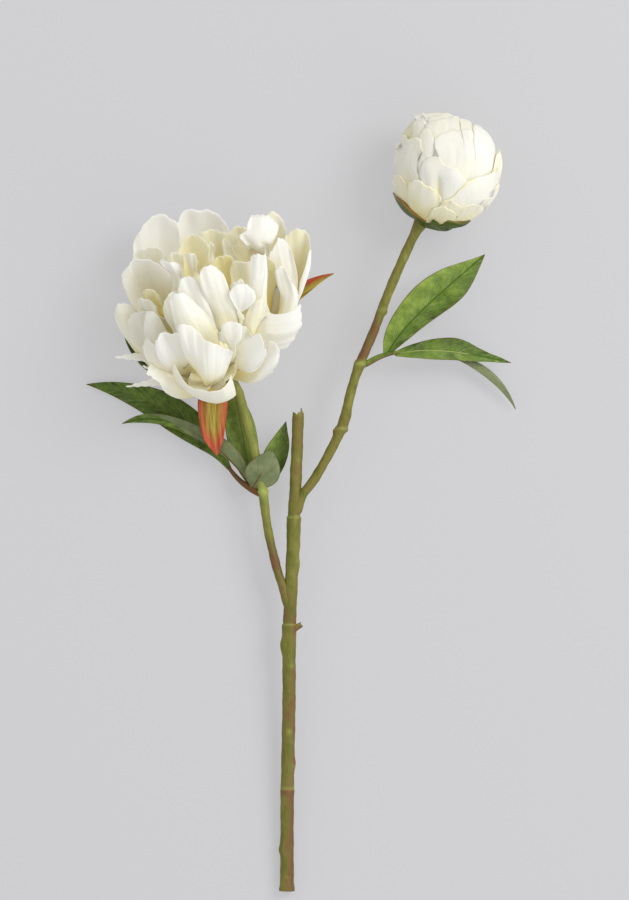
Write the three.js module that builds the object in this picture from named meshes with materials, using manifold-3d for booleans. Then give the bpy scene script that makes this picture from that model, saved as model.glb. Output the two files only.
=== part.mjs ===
// Cut peony spray lying on a table: forked stem, one open double bloom, one bud, two compound leaves.
// Millimetres, +Z up. The stem runs along +Y from its cut foot at x = 0, y = 0, and the table is z = 0.
import * as THREE from 'three';
import ManifoldModule from 'manifold-3d';

const wasm = await ManifoldModule();
wasm.setup();

// Driving dimensions
const GAP = 0.3; // clearance between neighbouring pieces
const PETAL = 1.0; // thickness of a bloom petal
const BUD_PETAL_DEPTH = 3; // how deep a wrapped petal of the bud is sunk into the layers under it
const LEAF = 0.9; // thickness of a leaflet
const SEPAL = 1.3; // thickness of a sepal
const STEM_SIDES = 10; // facets round a stem
const BLOOM_BASE = [-50, 383, 28.1]; // where the petals of the bloom spring from
const BLOOM_AXIS = [-0.08, 0.67, 0.74]; // the way the bloom faces
const BUD_MIDDLE = [114.2, 522.5, 37.4];
const BUD_AXIS = [0.2, 0.96, 0.12];
const BUD_RADIUS = 31.8; // core radius across the axis
const BUD_HALF_HEIGHT = 36.6; // core half height along the axis

// Vectors as plain arrays
const add = (a, b) => [a[0] + b[0], a[1] + b[1], a[2] + b[2]];
const sub = (a, b) => [a[0] - b[0], a[1] - b[1], a[2] - b[2]];
const mul = (a, k) => [a[0] * k, a[1] * k, a[2] * k];
const dot = (a, b) => a[0] * b[0] + a[1] * b[1] + a[2] * b[2];
const cross = (a, b) => [a[1] * b[2] - a[2] * b[1], a[2] * b[0] - a[0] * b[2], a[0] * b[1] - a[1] * b[0]];
const unit = (a) => mul(a, 1 / Math.hypot(a[0], a[1], a[2]));
const blend = (a, b, t) => add(mul(a, 1 - t), mul(b, t));
const rad = (degrees) => (degrees * Math.PI) / 180;
const clamp = (x, low = 0, high = 1) => Math.min(high, Math.max(low, x));

// A solid from points and triangles, turned to face outwards.
function solid(points, faces) {
  const build = (list) =>
    new wasm.Manifold(
      new wasm.Mesh({
        numProp: 3,
        vertProperties: new Float32Array(points.flat()),
        triVerts: new Uint32Array(list.flat()),
      }),
    );
  const made = build(faces);
  return made.volume() > 0 ? made : build(faces.map(([a, b, c]) => [a, c, b]));
}

const union = (parts) => parts.reduce((whole, part) => whole.add(part));

// The largest body of a cut result, without loose scraps.
function largest(made) {
  const bodies = made.decompose();
  return bodies.reduce((best, body) => (body.volume() > best.volume() ? body : best));
}

// A closed body between two grids of points of the same size, with a rim between them. Each cell is split along
// its shorter diagonal, alike on both faces.
function between(front, back) {
  const rows = front.length;
  const cols = front[0].length;
  const id = (face, i, j) => face * rows * cols + i * cols + j;
  const faces = [];
  const quad = (a, b, c, d) => faces.push([a, b, c], [a, c, d]);
  for (let i = 0; i + 1 < rows; i++)
    for (let j = 0; j + 1 < cols; j++) {
      const rising = Math.hypot(...sub(front[i][j], front[i + 1][j + 1]));
      const falling = Math.hypot(...sub(front[i + 1][j], front[i][j + 1]));
      const cell = [[i, j], [i + 1, j], [i + 1, j + 1], [i, j + 1]];
      const turn = rising < falling ? 0 : 1;
      const corner = (face, k) => id(face, ...cell[(k + turn) % 4]);
      faces.push([corner(0, 0), corner(0, 1), corner(0, 2)], [corner(0, 0), corner(0, 2), corner(0, 3)]);
      faces.push([corner(1, 0), corner(1, 2), corner(1, 1)], [corner(1, 0), corner(1, 3), corner(1, 2)]);
    }
  for (let i = 0; i + 1 < rows; i++) {
    quad(id(0, i + 1, 0), id(0, i, 0), id(1, i, 0), id(1, i + 1, 0));
    quad(id(0, i, cols - 1), id(0, i + 1, cols - 1), id(1, i + 1, cols - 1), id(1, i, cols - 1));
  }
  for (let j = 0; j + 1 < cols; j++) {
    quad(id(0, 0, j), id(0, 0, j + 1), id(1, 0, j + 1), id(1, 0, j));
    quad(id(0, rows - 1, j + 1), id(0, rows - 1, j), id(1, rows - 1, j), id(1, rows - 1, j + 1));
  }
  return solid([...front.flat(), ...back.flat()], faces);
}

// A thin sheet: a grid of middle points, moved half the thickness to either side.
function sheet(grid, thick) {
  const rows = grid.length;
  const cols = grid[0].length;
  const moved = (distance) =>
    grid.map((line, i) =>
      line.map((point, j) => {
        const along = sub(grid[Math.min(i + 1, rows - 1)][j], grid[Math.max(i - 1, 0)][j]);
        const across = sub(line[Math.min(j + 1, cols - 1)], line[Math.max(j - 1, 0)]);
        return add(point, mul(unit(cross(along, across)), distance));
      }),
    );
  return between(moved(thick / 2), moved(-thick / 2));
}

// A round stem through stations [x, y, z, radius], swept on a smooth curve.
function tube(stations, steps, sides = STEM_SIDES, grow = 0) {
  const curve = new THREE.CatmullRomCurve3(stations.map((s) => new THREE.Vector3(s[0], s[1], s[2])));
  curve.curveType = 'centripetal';
  const points = [];
  const faces = [];
  let side = [0, 0, 1];
  for (let k = 0; k <= steps; k++) {
    const t = k / steps;
    const here = curve.getPoint(t).toArray();
    const way = curve.getTangent(t).toArray();
    side = unit(sub(side, mul(way, dot(side, way))));
    const other = cross(way, side);
    const place = t * (stations.length - 1);
    const from = Math.min(Math.floor(place), stations.length - 2);
    const radius = stations[from][3] + (stations[from + 1][3] - stations[from][3]) * (place - from) + grow;
    for (let m = 0; m < sides; m++) {
      const turn = (2 * Math.PI * m) / sides;
      points.push(add(here, add(mul(side, radius * Math.cos(turn)), mul(other, radius * Math.sin(turn)))));
    }
  }
  const first = points.length;
  points.push(stations[0].slice(0, 3), stations[stations.length - 1].slice(0, 3));
  for (let m = 0; m < sides; m++) {
    const next = (m + 1) % sides;
    for (let k = 0; k < steps; k++) {
      const a = k * sides;
      const b = a + sides;
      faces.push([a + m, a + next, b + next], [a + m, b + next, b + m]);
    }
    faces.push([first, next, m], [first + 1, steps * sides + m, steps * sides + next]);
  }
  return solid(points, faces);
}

// A turned body round an axis: profile of [radius, height], first and last radius zero.
function turned(profile, base, axis, sides) {
  const up = unit(axis);
  const right = unit(cross(Math.abs(up[2]) > 0.9 ? [0, 1, 0] : [0, 0, 1], up));
  const front = cross(up, right);
  const rings = profile.slice(1, -1);
  const points = [add(base, mul(up, profile[0][1]))];
  for (const [radius, height] of rings)
    for (let m = 0; m < sides; m++) {
      const turn = (2 * Math.PI * m) / sides;
      const spoke = add(mul(right, radius * Math.cos(turn)), mul(front, radius * Math.sin(turn)));
      points.push(add(base, add(mul(up, height), spoke)));
    }
  points.push(add(base, mul(up, profile[profile.length - 1][1])));
  const end = points.length - 1;
  const faces = [];
  for (let m = 0; m < sides; m++) {
    const next = (m + 1) % sides;
    faces.push([0, 1 + next, 1 + m]);
    for (let k = 0; k + 1 < rings.length; k++) {
      const a = 1 + k * sides;
      const b = a + sides;
      faces.push([a + m, a + next, b + next], [a + m, b + next, b + m]);
    }
    const last = 1 + (rings.length - 1) * sides;
    faces.push([end, last + m, last + next]);
  }
  return solid(points, faces);
}

// A small rounded knob on the stem.
function knob(middle, radius, axis = [0, 1, 0], long = 1) {
  const profile = [[0, -long], [0.8, -0.6 * long], [0.8, 0.6 * long], [0, long]];
  return turned(profile.map(([r, h]) => [r * radius, h * radius]), middle, axis, 6);
}

// A flower's own frame: base, and the unit vectors out to the right, out to the back and along its axis.
function flowerFrame(base, axis) {
  const up = unit(axis);
  const right = unit(sub([1, 0, 0], mul(up, up[0])));
  const back = cross(up, right);
  const place = ([x, y, h]) => add(base, add(mul(right, x), add(mul(back, y), mul(up, h))));
  return { base, up, right, back, place };
}

// Flower coordinates x, y of the point seen at plan X, Y and standing h above the base.
function planToFlower(frame, [planX, planY], h) {
  const dx = planX - frame.base[0] - h * frame.up[0];
  const dy = planY - frame.base[1] - h * frame.up[1];
  const det = frame.right[0] * frame.back[1] - frame.back[0] * frame.right[1];
  return [(dx * frame.back[1] - dy * frame.back[0]) / det, (dy * frame.right[0] - dx * frame.right[1]) / det];
}

// One petal as a grid of middle points. The rib is a Bezier curve in the upright plane at its azimuth, and the
// blade is a part of a cylinder round the rib, with a narrow root, a blunt tip, a waved edge and small notches.
function petalGrid(frame, row, index, cellsAlong, cellsAcross) {
  const [, plan, tipHeight, azimuth, width, rises, cups, curl, reach] = row;
  const [x, y] = planToFlower(frame, plan, tipHeight);
  const turn = rad(azimuth);
  const out = [Math.cos(turn), Math.sin(turn), 0];
  const side = [-Math.sin(turn), Math.cos(turn), 0];
  const root = [out[0] * 6, out[1] * 6, 4];
  const tip = [x, y, tipHeight];
  const chord = Math.hypot(...sub(tip, root));
  const rise = (degrees) => [out[0] * Math.cos(rad(degrees)), out[1] * Math.cos(rad(degrees)), Math.sin(rad(degrees))];
  const second = add(root, mul(rise(rises[0]), chord * reach));
  const third = sub(tip, mul(rise(rises[1]), chord * reach));
  const rib = new THREE.CubicBezierCurve3(...[root, second, third, tip].map((p) => new THREE.Vector3(...p)));
  const length = rib.getLength();
  const phase = (index * 2.4) % 6.28;
  const grid = [];
  for (let i = 0; i <= cellsAlong; i++) {
    const line = [];
    for (let j = 0; j <= cellsAcross; j++) {
      const v = (2 * j) / cellsAcross - 1;
      const blunt = (0.8 * Math.abs(v) ** 2.6 * width) / 2;
      const notch = 1.5 * Math.cos(Math.PI * 2.5 * v + phase) ** 2 * (1 - v * v);
      const along = (i / cellsAlong) * (1 - (blunt + notch) / length);
      const way = rib.getTangentAt(along).toArray();
      const across = unit(sub(side, mul(way, dot(side, way))));
      const inward = cross(way, across);
      const k = clamp(along / 0.62);
      const shoulder = clamp((along - 0.62) / 0.38);
      const half = (width / 2) * (0.34 + 0.66 * k * k * (3 - 2 * k)) * (1 - 0.12 * shoulder * shoulder);
      const bend = rad(v < 0 ? cups[0] : cups[1]) / (width / 2) + 1e-6;
      const free = clamp((along - 0.25) / 0.75) ** 1.5;
      const edge = clamp((along - 0.72) / 0.28) ** 2;
      const wave = 1.2 * free * Math.sin(Math.PI * 1.6 * v + phase) * (0.3 + 0.7 * Math.abs(v));
      const flute = 0.72 * v * v * Math.sin(2.8 * Math.PI * along + 2.1 * phase + v) * clamp(along * 3);
      const lift = (1 - Math.cos(bend * half * v)) / bend + wave + flute + curl * edge;
      const reachOut = Math.sin(bend * half * v) / bend;
      const p = add(rib.getPointAt(along).toArray(), add(mul(across, reachOut), mul(inward, lift)));
      line.push(frame.place(p));
    }
    grid.push(line);
  }
  return grid;
}

// A petal or sepal that hugs an egg-shaped body. Angles: around is its azimuth, half the angle that it takes at
// its widest, top the angle from the upper pole that its tip reaches, start the angle where it begins, off how
// far its outer face stands off the body.
function wrapGrid(frame, row, cellsAlong, cellsAcross, depth = 0) {
  const { around, half, top, start = 165, off, lift = 0, lean = 0, point = 2.6, radius, height } = row;
  const grid = [];
  for (let i = 0; i <= cellsAlong; i++) {
    const line = [];
    for (let j = 0; j <= cellsAcross; j++) {
      const v = (2 * j) / cellsAcross - 1;
      const u = (i / cellsAlong) * (1 - 0.3 * Math.abs(v) ** point);
      const polar = rad(start + (top - start) * u);
      const broad = 0.5 + 0.5 * Math.sin(clamp(u * 1.4) * (Math.PI / 2));
      const turn = rad(around + lean * u + half * v * broad);
      const away = off + lift * u ** 4 - depth;
      const r = (radius + away) * Math.sin(polar);
      line.push(frame.place([r * Math.cos(turn), r * Math.sin(turn), (height + away) * Math.cos(polar)]));
    }
    grid.push(line);
  }
  return grid;
}

// A wrapped petal as a body whose inner face is sunk into what lies under it, so that only its edge stands out.
function wrapped(frame, row, depth, cellsAlong, cellsAcross) {
  const full = { radius: BUD_RADIUS, height: BUD_HALF_HEIGHT, ...row };
  return between(wrapGrid(frame, full, cellsAlong, cellsAcross), wrapGrid(frame, full, cellsAlong, cellsAcross, depth));
}

// One leaflet: middle points of a blade along a Bezier midrib, with its own half width on either side.
// roll turns the blade round the midrib, fold lifts both halves, wave ripples the edges.
function leafGrid(leaf, cellsAlong, cellsAcross) {
  const { rib: ends, left, right, roll = [0, 0], fold = 12, wave = 1, waves = 2.3, phase = 0, grow = 0 } = leaf;
  const rib = new THREE.CubicBezierCurve3(...ends.map((p) => new THREE.Vector3(...p)));
  const widthAt = (list, u) => {
    const place = u * (list.length - 1);
    const from = Math.min(Math.floor(place), list.length - 2);
    return list[from] + (list[from + 1] - list[from]) * (place - from);
  };
  const grid = [];
  for (let i = 0; i <= cellsAlong; i++) {
    const u = i / cellsAlong;
    const way = rib.getTangentAt(u).toArray();
    const flat = unit(cross([0, 0, 1], way));
    const face = cross(way, flat);
    const turn = rad(roll[0] + (roll[1] - roll[0]) * u);
    const across = add(mul(flat, Math.cos(turn)), mul(face, Math.sin(turn)));
    const up = sub(mul(face, Math.cos(turn)), mul(flat, Math.sin(turn)));
    const line = [];
    for (let j = 0; j <= cellsAcross; j++) {
      const v = (2 * j) / cellsAcross - 1;
      const reach = (Math.max(widthAt(v > 0 ? left : right, u), 0.7) + grow) * v;
      const ripple = wave * Math.abs(v) ** 1.5 * Math.sin(2 * Math.PI * waves * u + phase + (v > 0 ? 1.7 : 0));
      const rise = Math.abs(reach) * Math.tan(rad(fold)) + ripple * Math.sin(Math.PI * u);
      line.push(add(rib.getPointAt(u).toArray(), add(mul(across, reach), mul(up, rise))));
    }
    grid.push(line);
  }
  return grid;
}

// Stem with its two branches

const mainStations = [
  [-0.9, 0, 5.1, 5.3], [-0.8, 20, 6, 4.9], [-0.6, 70, 9.3, 4.8], [0.7, 140, 14.5, 4.8], [0.7, 182, 17.5, 4.7],
  [1.8, 211, 19.5, 4.7], [3.8, 254, 22, 4.5], [4.2, 269, 23, 4.5], [6, 305, 25, 4.2], [7, 334, 26.4, 4.2],
];
const bloomBranch = [
  [1.6, 205, 19, 3.0], [-3, 219, 20, 3.2], [-7.9, 233, 20.5, 3.2], [-14.4, 261, 21.5, 3.1], [-18, 287, 21.5, 3.3],
  [-22.6, 312, 20, 3.3], [-29.5, 337, 18.5, 3.6], [-36, 360, 17, 3.8], [-44, 373, 19, 4.2], [-49, 381, 24, 5.0],
];
const budBranch = [
  [5, 274, 23.5, 3.2], [10, 286, 24.5, 3.4], [19, 298, 26, 3.4], [31, 319, 28, 3.4], [39.2, 337, 29, 3.6],
  [45.6, 362, 30, 3.4], [51.4, 380, 31, 3.5], [62, 405, 32, 3.3], [71.8, 431, 33, 3.4], [83, 457, 33.5, 3.4],
  [91, 474, 33.8, 3.6], [95.8, 483, 33.4, 5.2],
];

// Collars: from, to and radius of each short swelling round the stem.
const collars = [
  [[0.8, 188, 17.8], [1.4, 194, 18.3], 5.5],
  [[4.2, 267, 22.9], [4.6, 273, 23.3], 5.3],
  [[35.2, 331, 28.6], [37.6, 336, 29], 4.5],
  [[49.4, 377, 30.9], [52, 383, 31.2], 4.9],
  [[-17.4, 283, 21.9], [-18.6, 289, 22.1], 4.6],
  [[-0.6, 71, 9.4], [-0.5, 75, 9.7], 5.2],
];

// Leaf scars and dormant buds: middle, radius, axis and length over width of each knob.
const knobs = [
  [[7.4, 192, 18.6], 2.2, [1, 0.6, 0], 1.6],
  [[-3.2, 178, 17.6], 2.6, [-0.4, 1, 0], 1.7],
  [[4.2, 163, 16.5], 1.7, [0, 1, 0], 1.5],
  [[41.2, 334, 28.6], 1.5, [1, 0, 0], 1.2],
  [[33.2, 330, 29.4], 1.4, [-1, 0.4, 0], 1.3],
  [[-14.4, 289, 22.6], 1.6, [1, 0.2, 0], 1.2],
  [[4.6, 92, 11.2], 1.8, [0.2, 1, 0], 1.9],
  [[-3.4, 30, 7.4], 1.9, [0, 1, 0], 1.8],
  [[71.5, 419, 33], 1.4, [1, 0.2, 0], 1.2],
];

const collar = ([from, to, radius], grow) =>
  tube([[...from, radius - 0.7], [...blend(from, to, 0.5), radius], [...to, radius - 0.6]], 2, 8, grow);

// The forked stem without its snapped end, made thicker all round by grow.
function stemSolids(grow) {
  return union([
    tube(mainStations, 14, STEM_SIDES, grow),
    tube(bloomBranch, 14, 8, grow),
    tube(budBranch, 14, 8, grow),
    ...collars.map((row) => collar(row, grow)),
    ...knobs.map(([middle, radius, axis, long]) => knob(middle, radius + grow, axis, long)),
  ]);
}

// The snapped stub: leaning splinters left standing on the end of the main stem.
const stubSplinters = [
  tube([[9, 326, 26.3, 1.7], [9.6, 342, 27.6, 1.2], [9.4, 349, 28, 0.7]], 3, 6),
  tube([[5.6, 328, 26, 2.0], [5.2, 338, 26.4, 1.7], [4.8, 343, 26.8, 0.9]], 3, 6),
  tube([[7.4, 328, 25.6, 2.2], [7.6, 341, 25.4, 1.5]], 2, 6),
];

// Petals of the open bloom. Columns: name, plan X and Y of the tip, its height over the base, azimuth, width,
// rise in degrees at root and tip, cupping of the two halves in degrees, curl of the tip in, reach of the bend.
const bloomPetals = [
  ['back_middle', [-63, 490], 68, 98, 58, [-28, 66], [30, 35], -2, 0.42],
  ['back_left', [-98, 486], 68, 120, 50, [-28, 70], [30, 40], 0, 0.42],
  ['back_cream', [-37, 480], 66, 76, 48, [-22, 75], [40, 40], 0, 0.42],
  ['back_right_behind', [-11, 490], 64, 62, 46, [-26, 74], [40, 40], 0, 0.42],
  ['right_hollow', [10, 474], 70, 34, 58, [-14, 66], [60, 20], -2, 0.42],
  ['right_bright', [-4, 469], 82, 40, 38, [5, 80], [50, 20], -2, 0.42],
  ['back_right_folded', [-19, 484], 86, 68, 40, [15, 70], [30, 20], -5, 0.42],
  ['left_upper', [-106, 460], 66, 146, 54, [-14, 78], [40, 40], 0, 0.42],
  ['left_broad', [-109, 446], 72, 155, 70, [-12, 66], [25, 30], -3, 0.42],
  ['left_far', [-121, 424], 50, 186, 56, [-24, 65], [40, 45], -3, 0.48],
  ['left_outer', [-117, 409], 54, 204, 60, [-30, 76], [45, 45], -2, 0.52],
  ['left_lower', [-99, 398], 57, 224, 70, [-48, 88], [42, 50], 0, 0.58],
  ['frayed_guard', [-89, 366], 18, 228, 58, [-46, 58], [40, 45], -2, 0.5],
  ['front_bottom', [-57, 356], 24, 272, 58, [-50, 60], [50, 45], -3, 0.5],
  ['right_lower_behind', [-5, 394], 46, 316, 58, [-36, 86], [50, 50], 0, 0.54],
  ['right_cup', [5, 418], 60, 330, 68, [-26, 88], [56, 60], 2, 0.48],
  ['right_lower', [-24, 401], 62, 300, 50, [-32, 104], [45, 50], 0, 0.48],
  ['front_large', [-58, 403], 70, 264, 58, [-30, 118], [55, 55], 0, 0.56],
  ['front_second', [-75, 427], 80, 276, 54, [0, 122], [55, 60], 0, 0.44],
  ['front_third', [-71, 441], 88, 284, 38, [20, 120], [60, 60], 0, 0.42],
  ['front_rolled', [-57, 451], 94, 292, 34, [30, 120], [70, 70], 0, 0.42],
  ['cream_right_front', [-22, 426], 82, 316, 38, [20, 105], [55, 35], 0, 0.42],
  ['small_white_front', [-40, 410], 80, 290, 24, [10, 95], [30, 30], 0, 0.42],
  ['small_white_middle', [-32, 440], 92, 322, 28, [45, 100], [30, 30], -2, 0.42],
  ['tall_right', [-20, 458], 88, 345, 40, [25, 92], [80, 30], 0, 0.42],
  ['right_inner', [-1, 448], 76, 15, 34, [10, 80], [60, 30], 0, 0.42],
  ['left_folded', [-83, 455], 84, 140, 28, [45, 60], [10, 30], -4, 0.42],
  ['left_small_upper', [-96, 434], 74, 168, 28, [25, 70], [20, 20], -2, 0.42],
  ['left_small_middle', [-98, 425], 70, 180, 26, [25, 74], [20, 20], 0, 0.42],
  ['left_small_lower', [-96, 416], 72, 200, 26, [15, 85], [30, 30], 0, 0.42],
  ['heart_back', [-53, 474], 80, 88, 38, [30, 85], [50, 50], 0, 0.42],
  ['heart_back_left', [-68, 472], 80, 112, 34, [30, 85], [50, 50], 0, 0.42],
  ['heart_back_right', [-35, 469], 80, 62, 32, [30, 85], [50, 50], 0, 0.42],
  ['heart_right', [-22, 464], 78, 42, 32, [20, 85], [50, 50], 0, 0.42],
  ['heart_left', [-79, 465], 78, 134, 32, [30, 85], [50, 50], 0, 0.42],
  ['heart_yellow', [-63, 459], 78, 105, 20, [60, 90], [60, 50], 0, 0.42],
  ['heart_yellow_left', [-71, 454], 78, 135, 20, [60, 90], [60, 50], 0, 0.42],
  ['heart_peach', [-46, 456], 80, 72, 24, [60, 90], [60, 50], 0, 0.42],
  ['heart_grey', [-32, 454], 80, 40, 26, [60, 90], [60, 50], 0, 0.42],
];

// Frayed ends of torn guard petals at the lower left: narrow tongues in the bloom's own colour.
const frayed = [
  { rib: [[-62, 378, 29], [-84, 376, 32], [-100, 381, 36], [-122, 379, 38]], left: [4, 6, 4, 2, 1], right: [4, 5, 3, 2, 1] },
  { rib: [[-62, 374, 29], [-84, 368, 32], [-98, 366, 34], [-112, 359, 34]], left: [4, 6, 4, 2, 1], right: [4, 5, 3, 2, 1] },
  { rib: [[-62, 376, 31], [-80, 374, 35], [-90, 372, 38], [-103, 374, 40]], left: [4, 5, 3, 1.5, 1], right: [4, 4, 3, 2, 1] },
];

// Petals wrapped round the bud, from the innermost out.
const budPetals = [
  { around: 170, half: 44, top: 10, off: 1.6 },
  { around: 268, half: 46, top: 6, off: 1.6 },
  { around: 0, half: 44, top: 14, off: 1.6 },
  { around: 125, half: 44, top: 20, off: 3.4, lift: 1.5 },
  { around: 208, half: 40, top: 20, off: 3.4, lean: -8, lift: 3.6 },
  { around: 305, half: 40, top: 24, off: 3.4, lean: 12 },
  { around: 35, half: 42, top: 28, off: 3.4, lift: 0.5 },
  { around: 182, half: 42, top: 34, off: 5.2, lift: 3.4 },
  { around: 260, half: 42, top: 40, off: 5.2, lean: -8 },
  { around: 340, half: 40, top: 36, off: 5.2, lean: 10, lift: 1 },
  { around: 85, half: 46, top: 42, off: 5.2 },
  { around: 300, half: 42, top: 78, off: 7, lean: 22, lift: 0.6 },
  { around: 30, half: 42, top: 62, off: 7, lift: 1.6 },
  { around: 216, half: 36, top: 66, off: 7, lean: -12, lift: 1 },
  { around: 130, half: 44, top: 72, off: 7, lift: 1 },
];

const budSepals = [
  { around: 196, half: 26, top: 118, off: 8.6, point: 1.4 },
  { around: 262, half: 20, top: 148, off: 8.4, point: 1.4 },
  { around: 322, half: 30, top: 146, off: 8.4, point: 1.4 },
  { around: 126, half: 26, top: 124, off: 8.4, point: 1.4 },
  { around: 50, half: 28, top: 134, off: 8.4, point: 1.4 },
];

// Sepals of the bloom, as blades: the red one that hangs below, the red-tipped one at the right, the rest green.
const bloomSepals = [
  {
    rib: [[-50, 377, 24], [-57, 360, 28], [-55, 338, 29], [-51, 315, 23]],
    left: [5, 9, 11, 9.5, 6.5, 1], right: [5, 9, 10.5, 9.5, 7.5, 1], fold: 5, wave: 1.2, waves: 1.1, roll: [0, -6],
  },
  {
    rib: [[-46, 384, 23], [-30, 398, 9], [2, 436, 18], [33, 446, 29]],
    left: [5, 6.5, 7, 6, 4.6, 1], right: [5, 6.5, 7, 6, 4.6, 1], fold: 6, wave: 0.8, waves: 1.1, roll: [-15, -34],
  },
  {
    rib: [[-54, 383, 23], [-72, 384, 18], [-96, 388, 26], [-117, 399, 38]],
    left: [5, 7, 7, 6, 3.5, 1], right: [5, 7, 7.5, 6.5, 4, 1], fold: 5, wave: 0.8, waves: 1.1, roll: [0, 14],
  },
];

// Leaflets. Half widths are listed from root to tip at equal steps.
const budLeaflets = [
  {
    rib: [[71, 387, 27], [80, 408, 32], [112, 434, 31], [142, 460, 18]],
    left: [2.5, 8, 11.5, 13.5, 15, 15.5, 14.5, 12, 8, 3.8, 0.7],
    right: [1.5, 5, 7.5, 9, 10.5, 12, 13, 12.5, 9.5, 5, 0.7],
    fold: 14, wave: 1.1, waves: 2.2, roll: [-8, 6],
  },
  {
    rib: [[77, 388, 26], [102, 394, 28], [128, 389.5, 22], [161, 382, 11]],
    left: [1.5, 4, 6, 8, 9.4, 10, 8.4, 5.6, 3.4, 2, 0.7],
    right: [1.5, 4, 5.5, 6.5, 6.5, 6, 5.5, 4.5, 3, 1.8, 0.7],
    fold: 12, wave: 0.9, waves: 1.9, roll: [6, -10], phase: 1,
  },
  {
    rib: [[88, 388.5, 22], [120, 394, 14], [152, 377, 12], [164.5, 348.5, 6]],
    left: [1.2, 1.4, 1.8, 2.4, 3, 3.2, 3.2, 2.8, 2, 0.7],
    right: [1.2, 1.4, 1.8, 2.2, 2.6, 3, 3, 2.6, 1.8, 0.7],
    fold: 16, wave: 0.5, waves: 1.6, roll: [150, 190], phase: 2,
  },
];

const bloomLeaflets = [
  {
    rib: [[-42, 305, 12.6], [-58, 328, 5], [-90, 360, 6], [-146, 366.5, 4]],
    left: [1.5, 4, 8, 11, 12, 11, 9, 6.5, 3.5, 0.7],
    right: [1.5, 5, 9, 11.5, 12, 11.5, 9.5, 7, 4, 0.7],
    fold: 7, wave: 0.9, waves: 2, roll: [10, 0],
  },
  {
    rib: [[-26, 292, 18], [-46, 322, 25], [-84, 352, 11], [-120, 338, 8]],
    left: [0.7, 0.8, 1.2, 2.4, 3, 3.6, 3.6, 3.2, 2.2, 0.7],
    right: [1.5, 8, 10.5, 9, 6, 4.5, 3.8, 3.4, 2.6, 0.7],
    fold: 8, wave: 0.7, waves: 1.6, roll: [-20, 10], phase: 1,
  },
  {
    rib: [[-26, 292, 15], [-31, 318, 10], [-35, 345, 7], [-44, 376, 5]],
    left: [1.5, 6, 9, 10, 10, 9.5, 8, 5, 2.5, 0.7],
    right: [1.5, 6, 9, 10, 10, 9.5, 8, 5, 2.5, 0.7],
    fold: 6, wave: 0.7, waves: 1.7, phase: 2,
  },
  {
    rib: [[-25, 290, 17], [-14, 296, 13], [-8, 312, 14], [-1.5, 339.5, 18]],
    left: [1.5, 3, 6, 8, 8.5, 8, 6.5, 3.5, 0.7],
    right: [1.5, 3, 6, 8, 8.5, 8, 6, 3, 0.7],
    fold: 8, wave: 0.6, waves: 1.6, roll: [20, 0],
  },
  {
    rib: [[-26, 291, 19], [-20, 300, 28], [-15, 308, 29], [-9, 320, 27]],
    left: [1, 7, 11, 12, 10, 6, 2],
    right: [1, 7, 11, 13, 12, 7, 2],
    fold: -6, wave: 0.8, waves: 1.3, roll: [0, 12], phase: 3,
  },
];

// Brown leaf stalks
const budStalk = [[52.5, 379, 30, 1.9], [58, 382, 28, 1.9], [66, 386, 27.4, 1.8], [78, 388.5, 26.4, 1.5], [93, 389, 22, 1.1]];
const bloomStalk = [[-20, 287, 21.5, 2.2], [-27, 291, 18, 2.4], [-36, 298, 14.5, 1.7], [-43.5, 307, 12.6, 1.4]];

// Assembly of the solids

const slab = turned([[0, -40], [1200, -40], [1200, 0], [0, 0]], [0, 0, 0], [0, 0, 1], 4);
const flower = flowerFrame(BLOOM_BASE, BLOOM_AXIS);
const bud = flowerFrame(BUD_MIDDLE, BUD_AXIS);

const stemFat = stemSolids(GAP);
const stemBody = largest(union([stemSolids(0), ...stubSplinters]).subtract(slab));

function calyxOfBloom(grow) {
  const cup = [[0, -6], [5, -6], [9, -3.5], [10.5, 1], [9, 5], [0, 5.5]].map(([r, h]) => [r && r + grow, h]);
  cup[0][1] -= grow;
  cup[1][1] -= grow;
  cup[5][1] += grow;
  const blades = bloomSepals.map((leaf) => sheet(leafGrid({ ...leaf, grow }, 8, 4), SEPAL + 2 * grow));
  return union([turned(cup, flower.base, flower.up, 12), ...blades]);
}

function calyxOfBud(grow) {
  const cup = [[0, -45.5], [9, -45.5], [13.5, -42], [12, -37], [0, -37]].map(([r, h]) => [r && r + grow, h]);
  cup[0][1] -= grow;
  cup[1][1] -= grow;
  const egg = { radius: BUD_RADIUS, height: BUD_HALF_HEIGHT, start: 166 };
  const wider = (row) => ({ ...egg, ...row, half: row.half + 2 * grow, top: row.top - 2 * grow });
  const blades = budSepals.map((row) => sheet(wrapGrid(bud, wider(row), 5, 3), SEPAL + 2 * grow));
  return union([turned(cup, bud.base, bud.up, 12), ...blades]);
}

const bloomCore = [[0, 1], [17, 4], [26, 13], [29, 28], [26, 45], [17, 57], [0, 63]];
const bloomWhole = union([
  turned(bloomCore, flower.base, flower.up, 12),
  ...bloomPetals.map((row, index) => sheet(petalGrid(flower, row, index, 4, row[4] > 60 ? 4 : 3), PETAL)),
  ...frayed.map((leaf) => sheet(leafGrid({ fold: 8, wave: 0.8, ...leaf }, 5, 2), PETAL)),
]);

const eggProfile = [];
for (let k = 0; k <= 10; k++) {
  const polar = Math.PI * (1 - k / 10);
  eggProfile.push([k % 10 ? BUD_RADIUS * Math.sin(polar) : 0, BUD_HALF_HEIGHT * Math.cos(polar)]);
}
const budWhole = union([
  turned(eggProfile, bud.base, bud.up, 16),
  ...budPetals.map((row) => wrapped(bud, row, BUD_PETAL_DEPTH, 5, 4)),
]);

const bloomCalyxWhole = largest(calyxOfBloom(0).subtract(stemFat).subtract(slab));
const budCalyxWhole = largest(calyxOfBud(0).subtract(stemFat).subtract(slab));
const bloomBody = largest(bloomWhole.subtract(calyxOfBloom(GAP)).subtract(bloomCalyxWhole).subtract(stemFat).subtract(slab));
const budBody = largest(budWhole.subtract(calyxOfBud(GAP)).subtract(budCalyxWhole).subtract(stemFat).subtract(slab));

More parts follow.
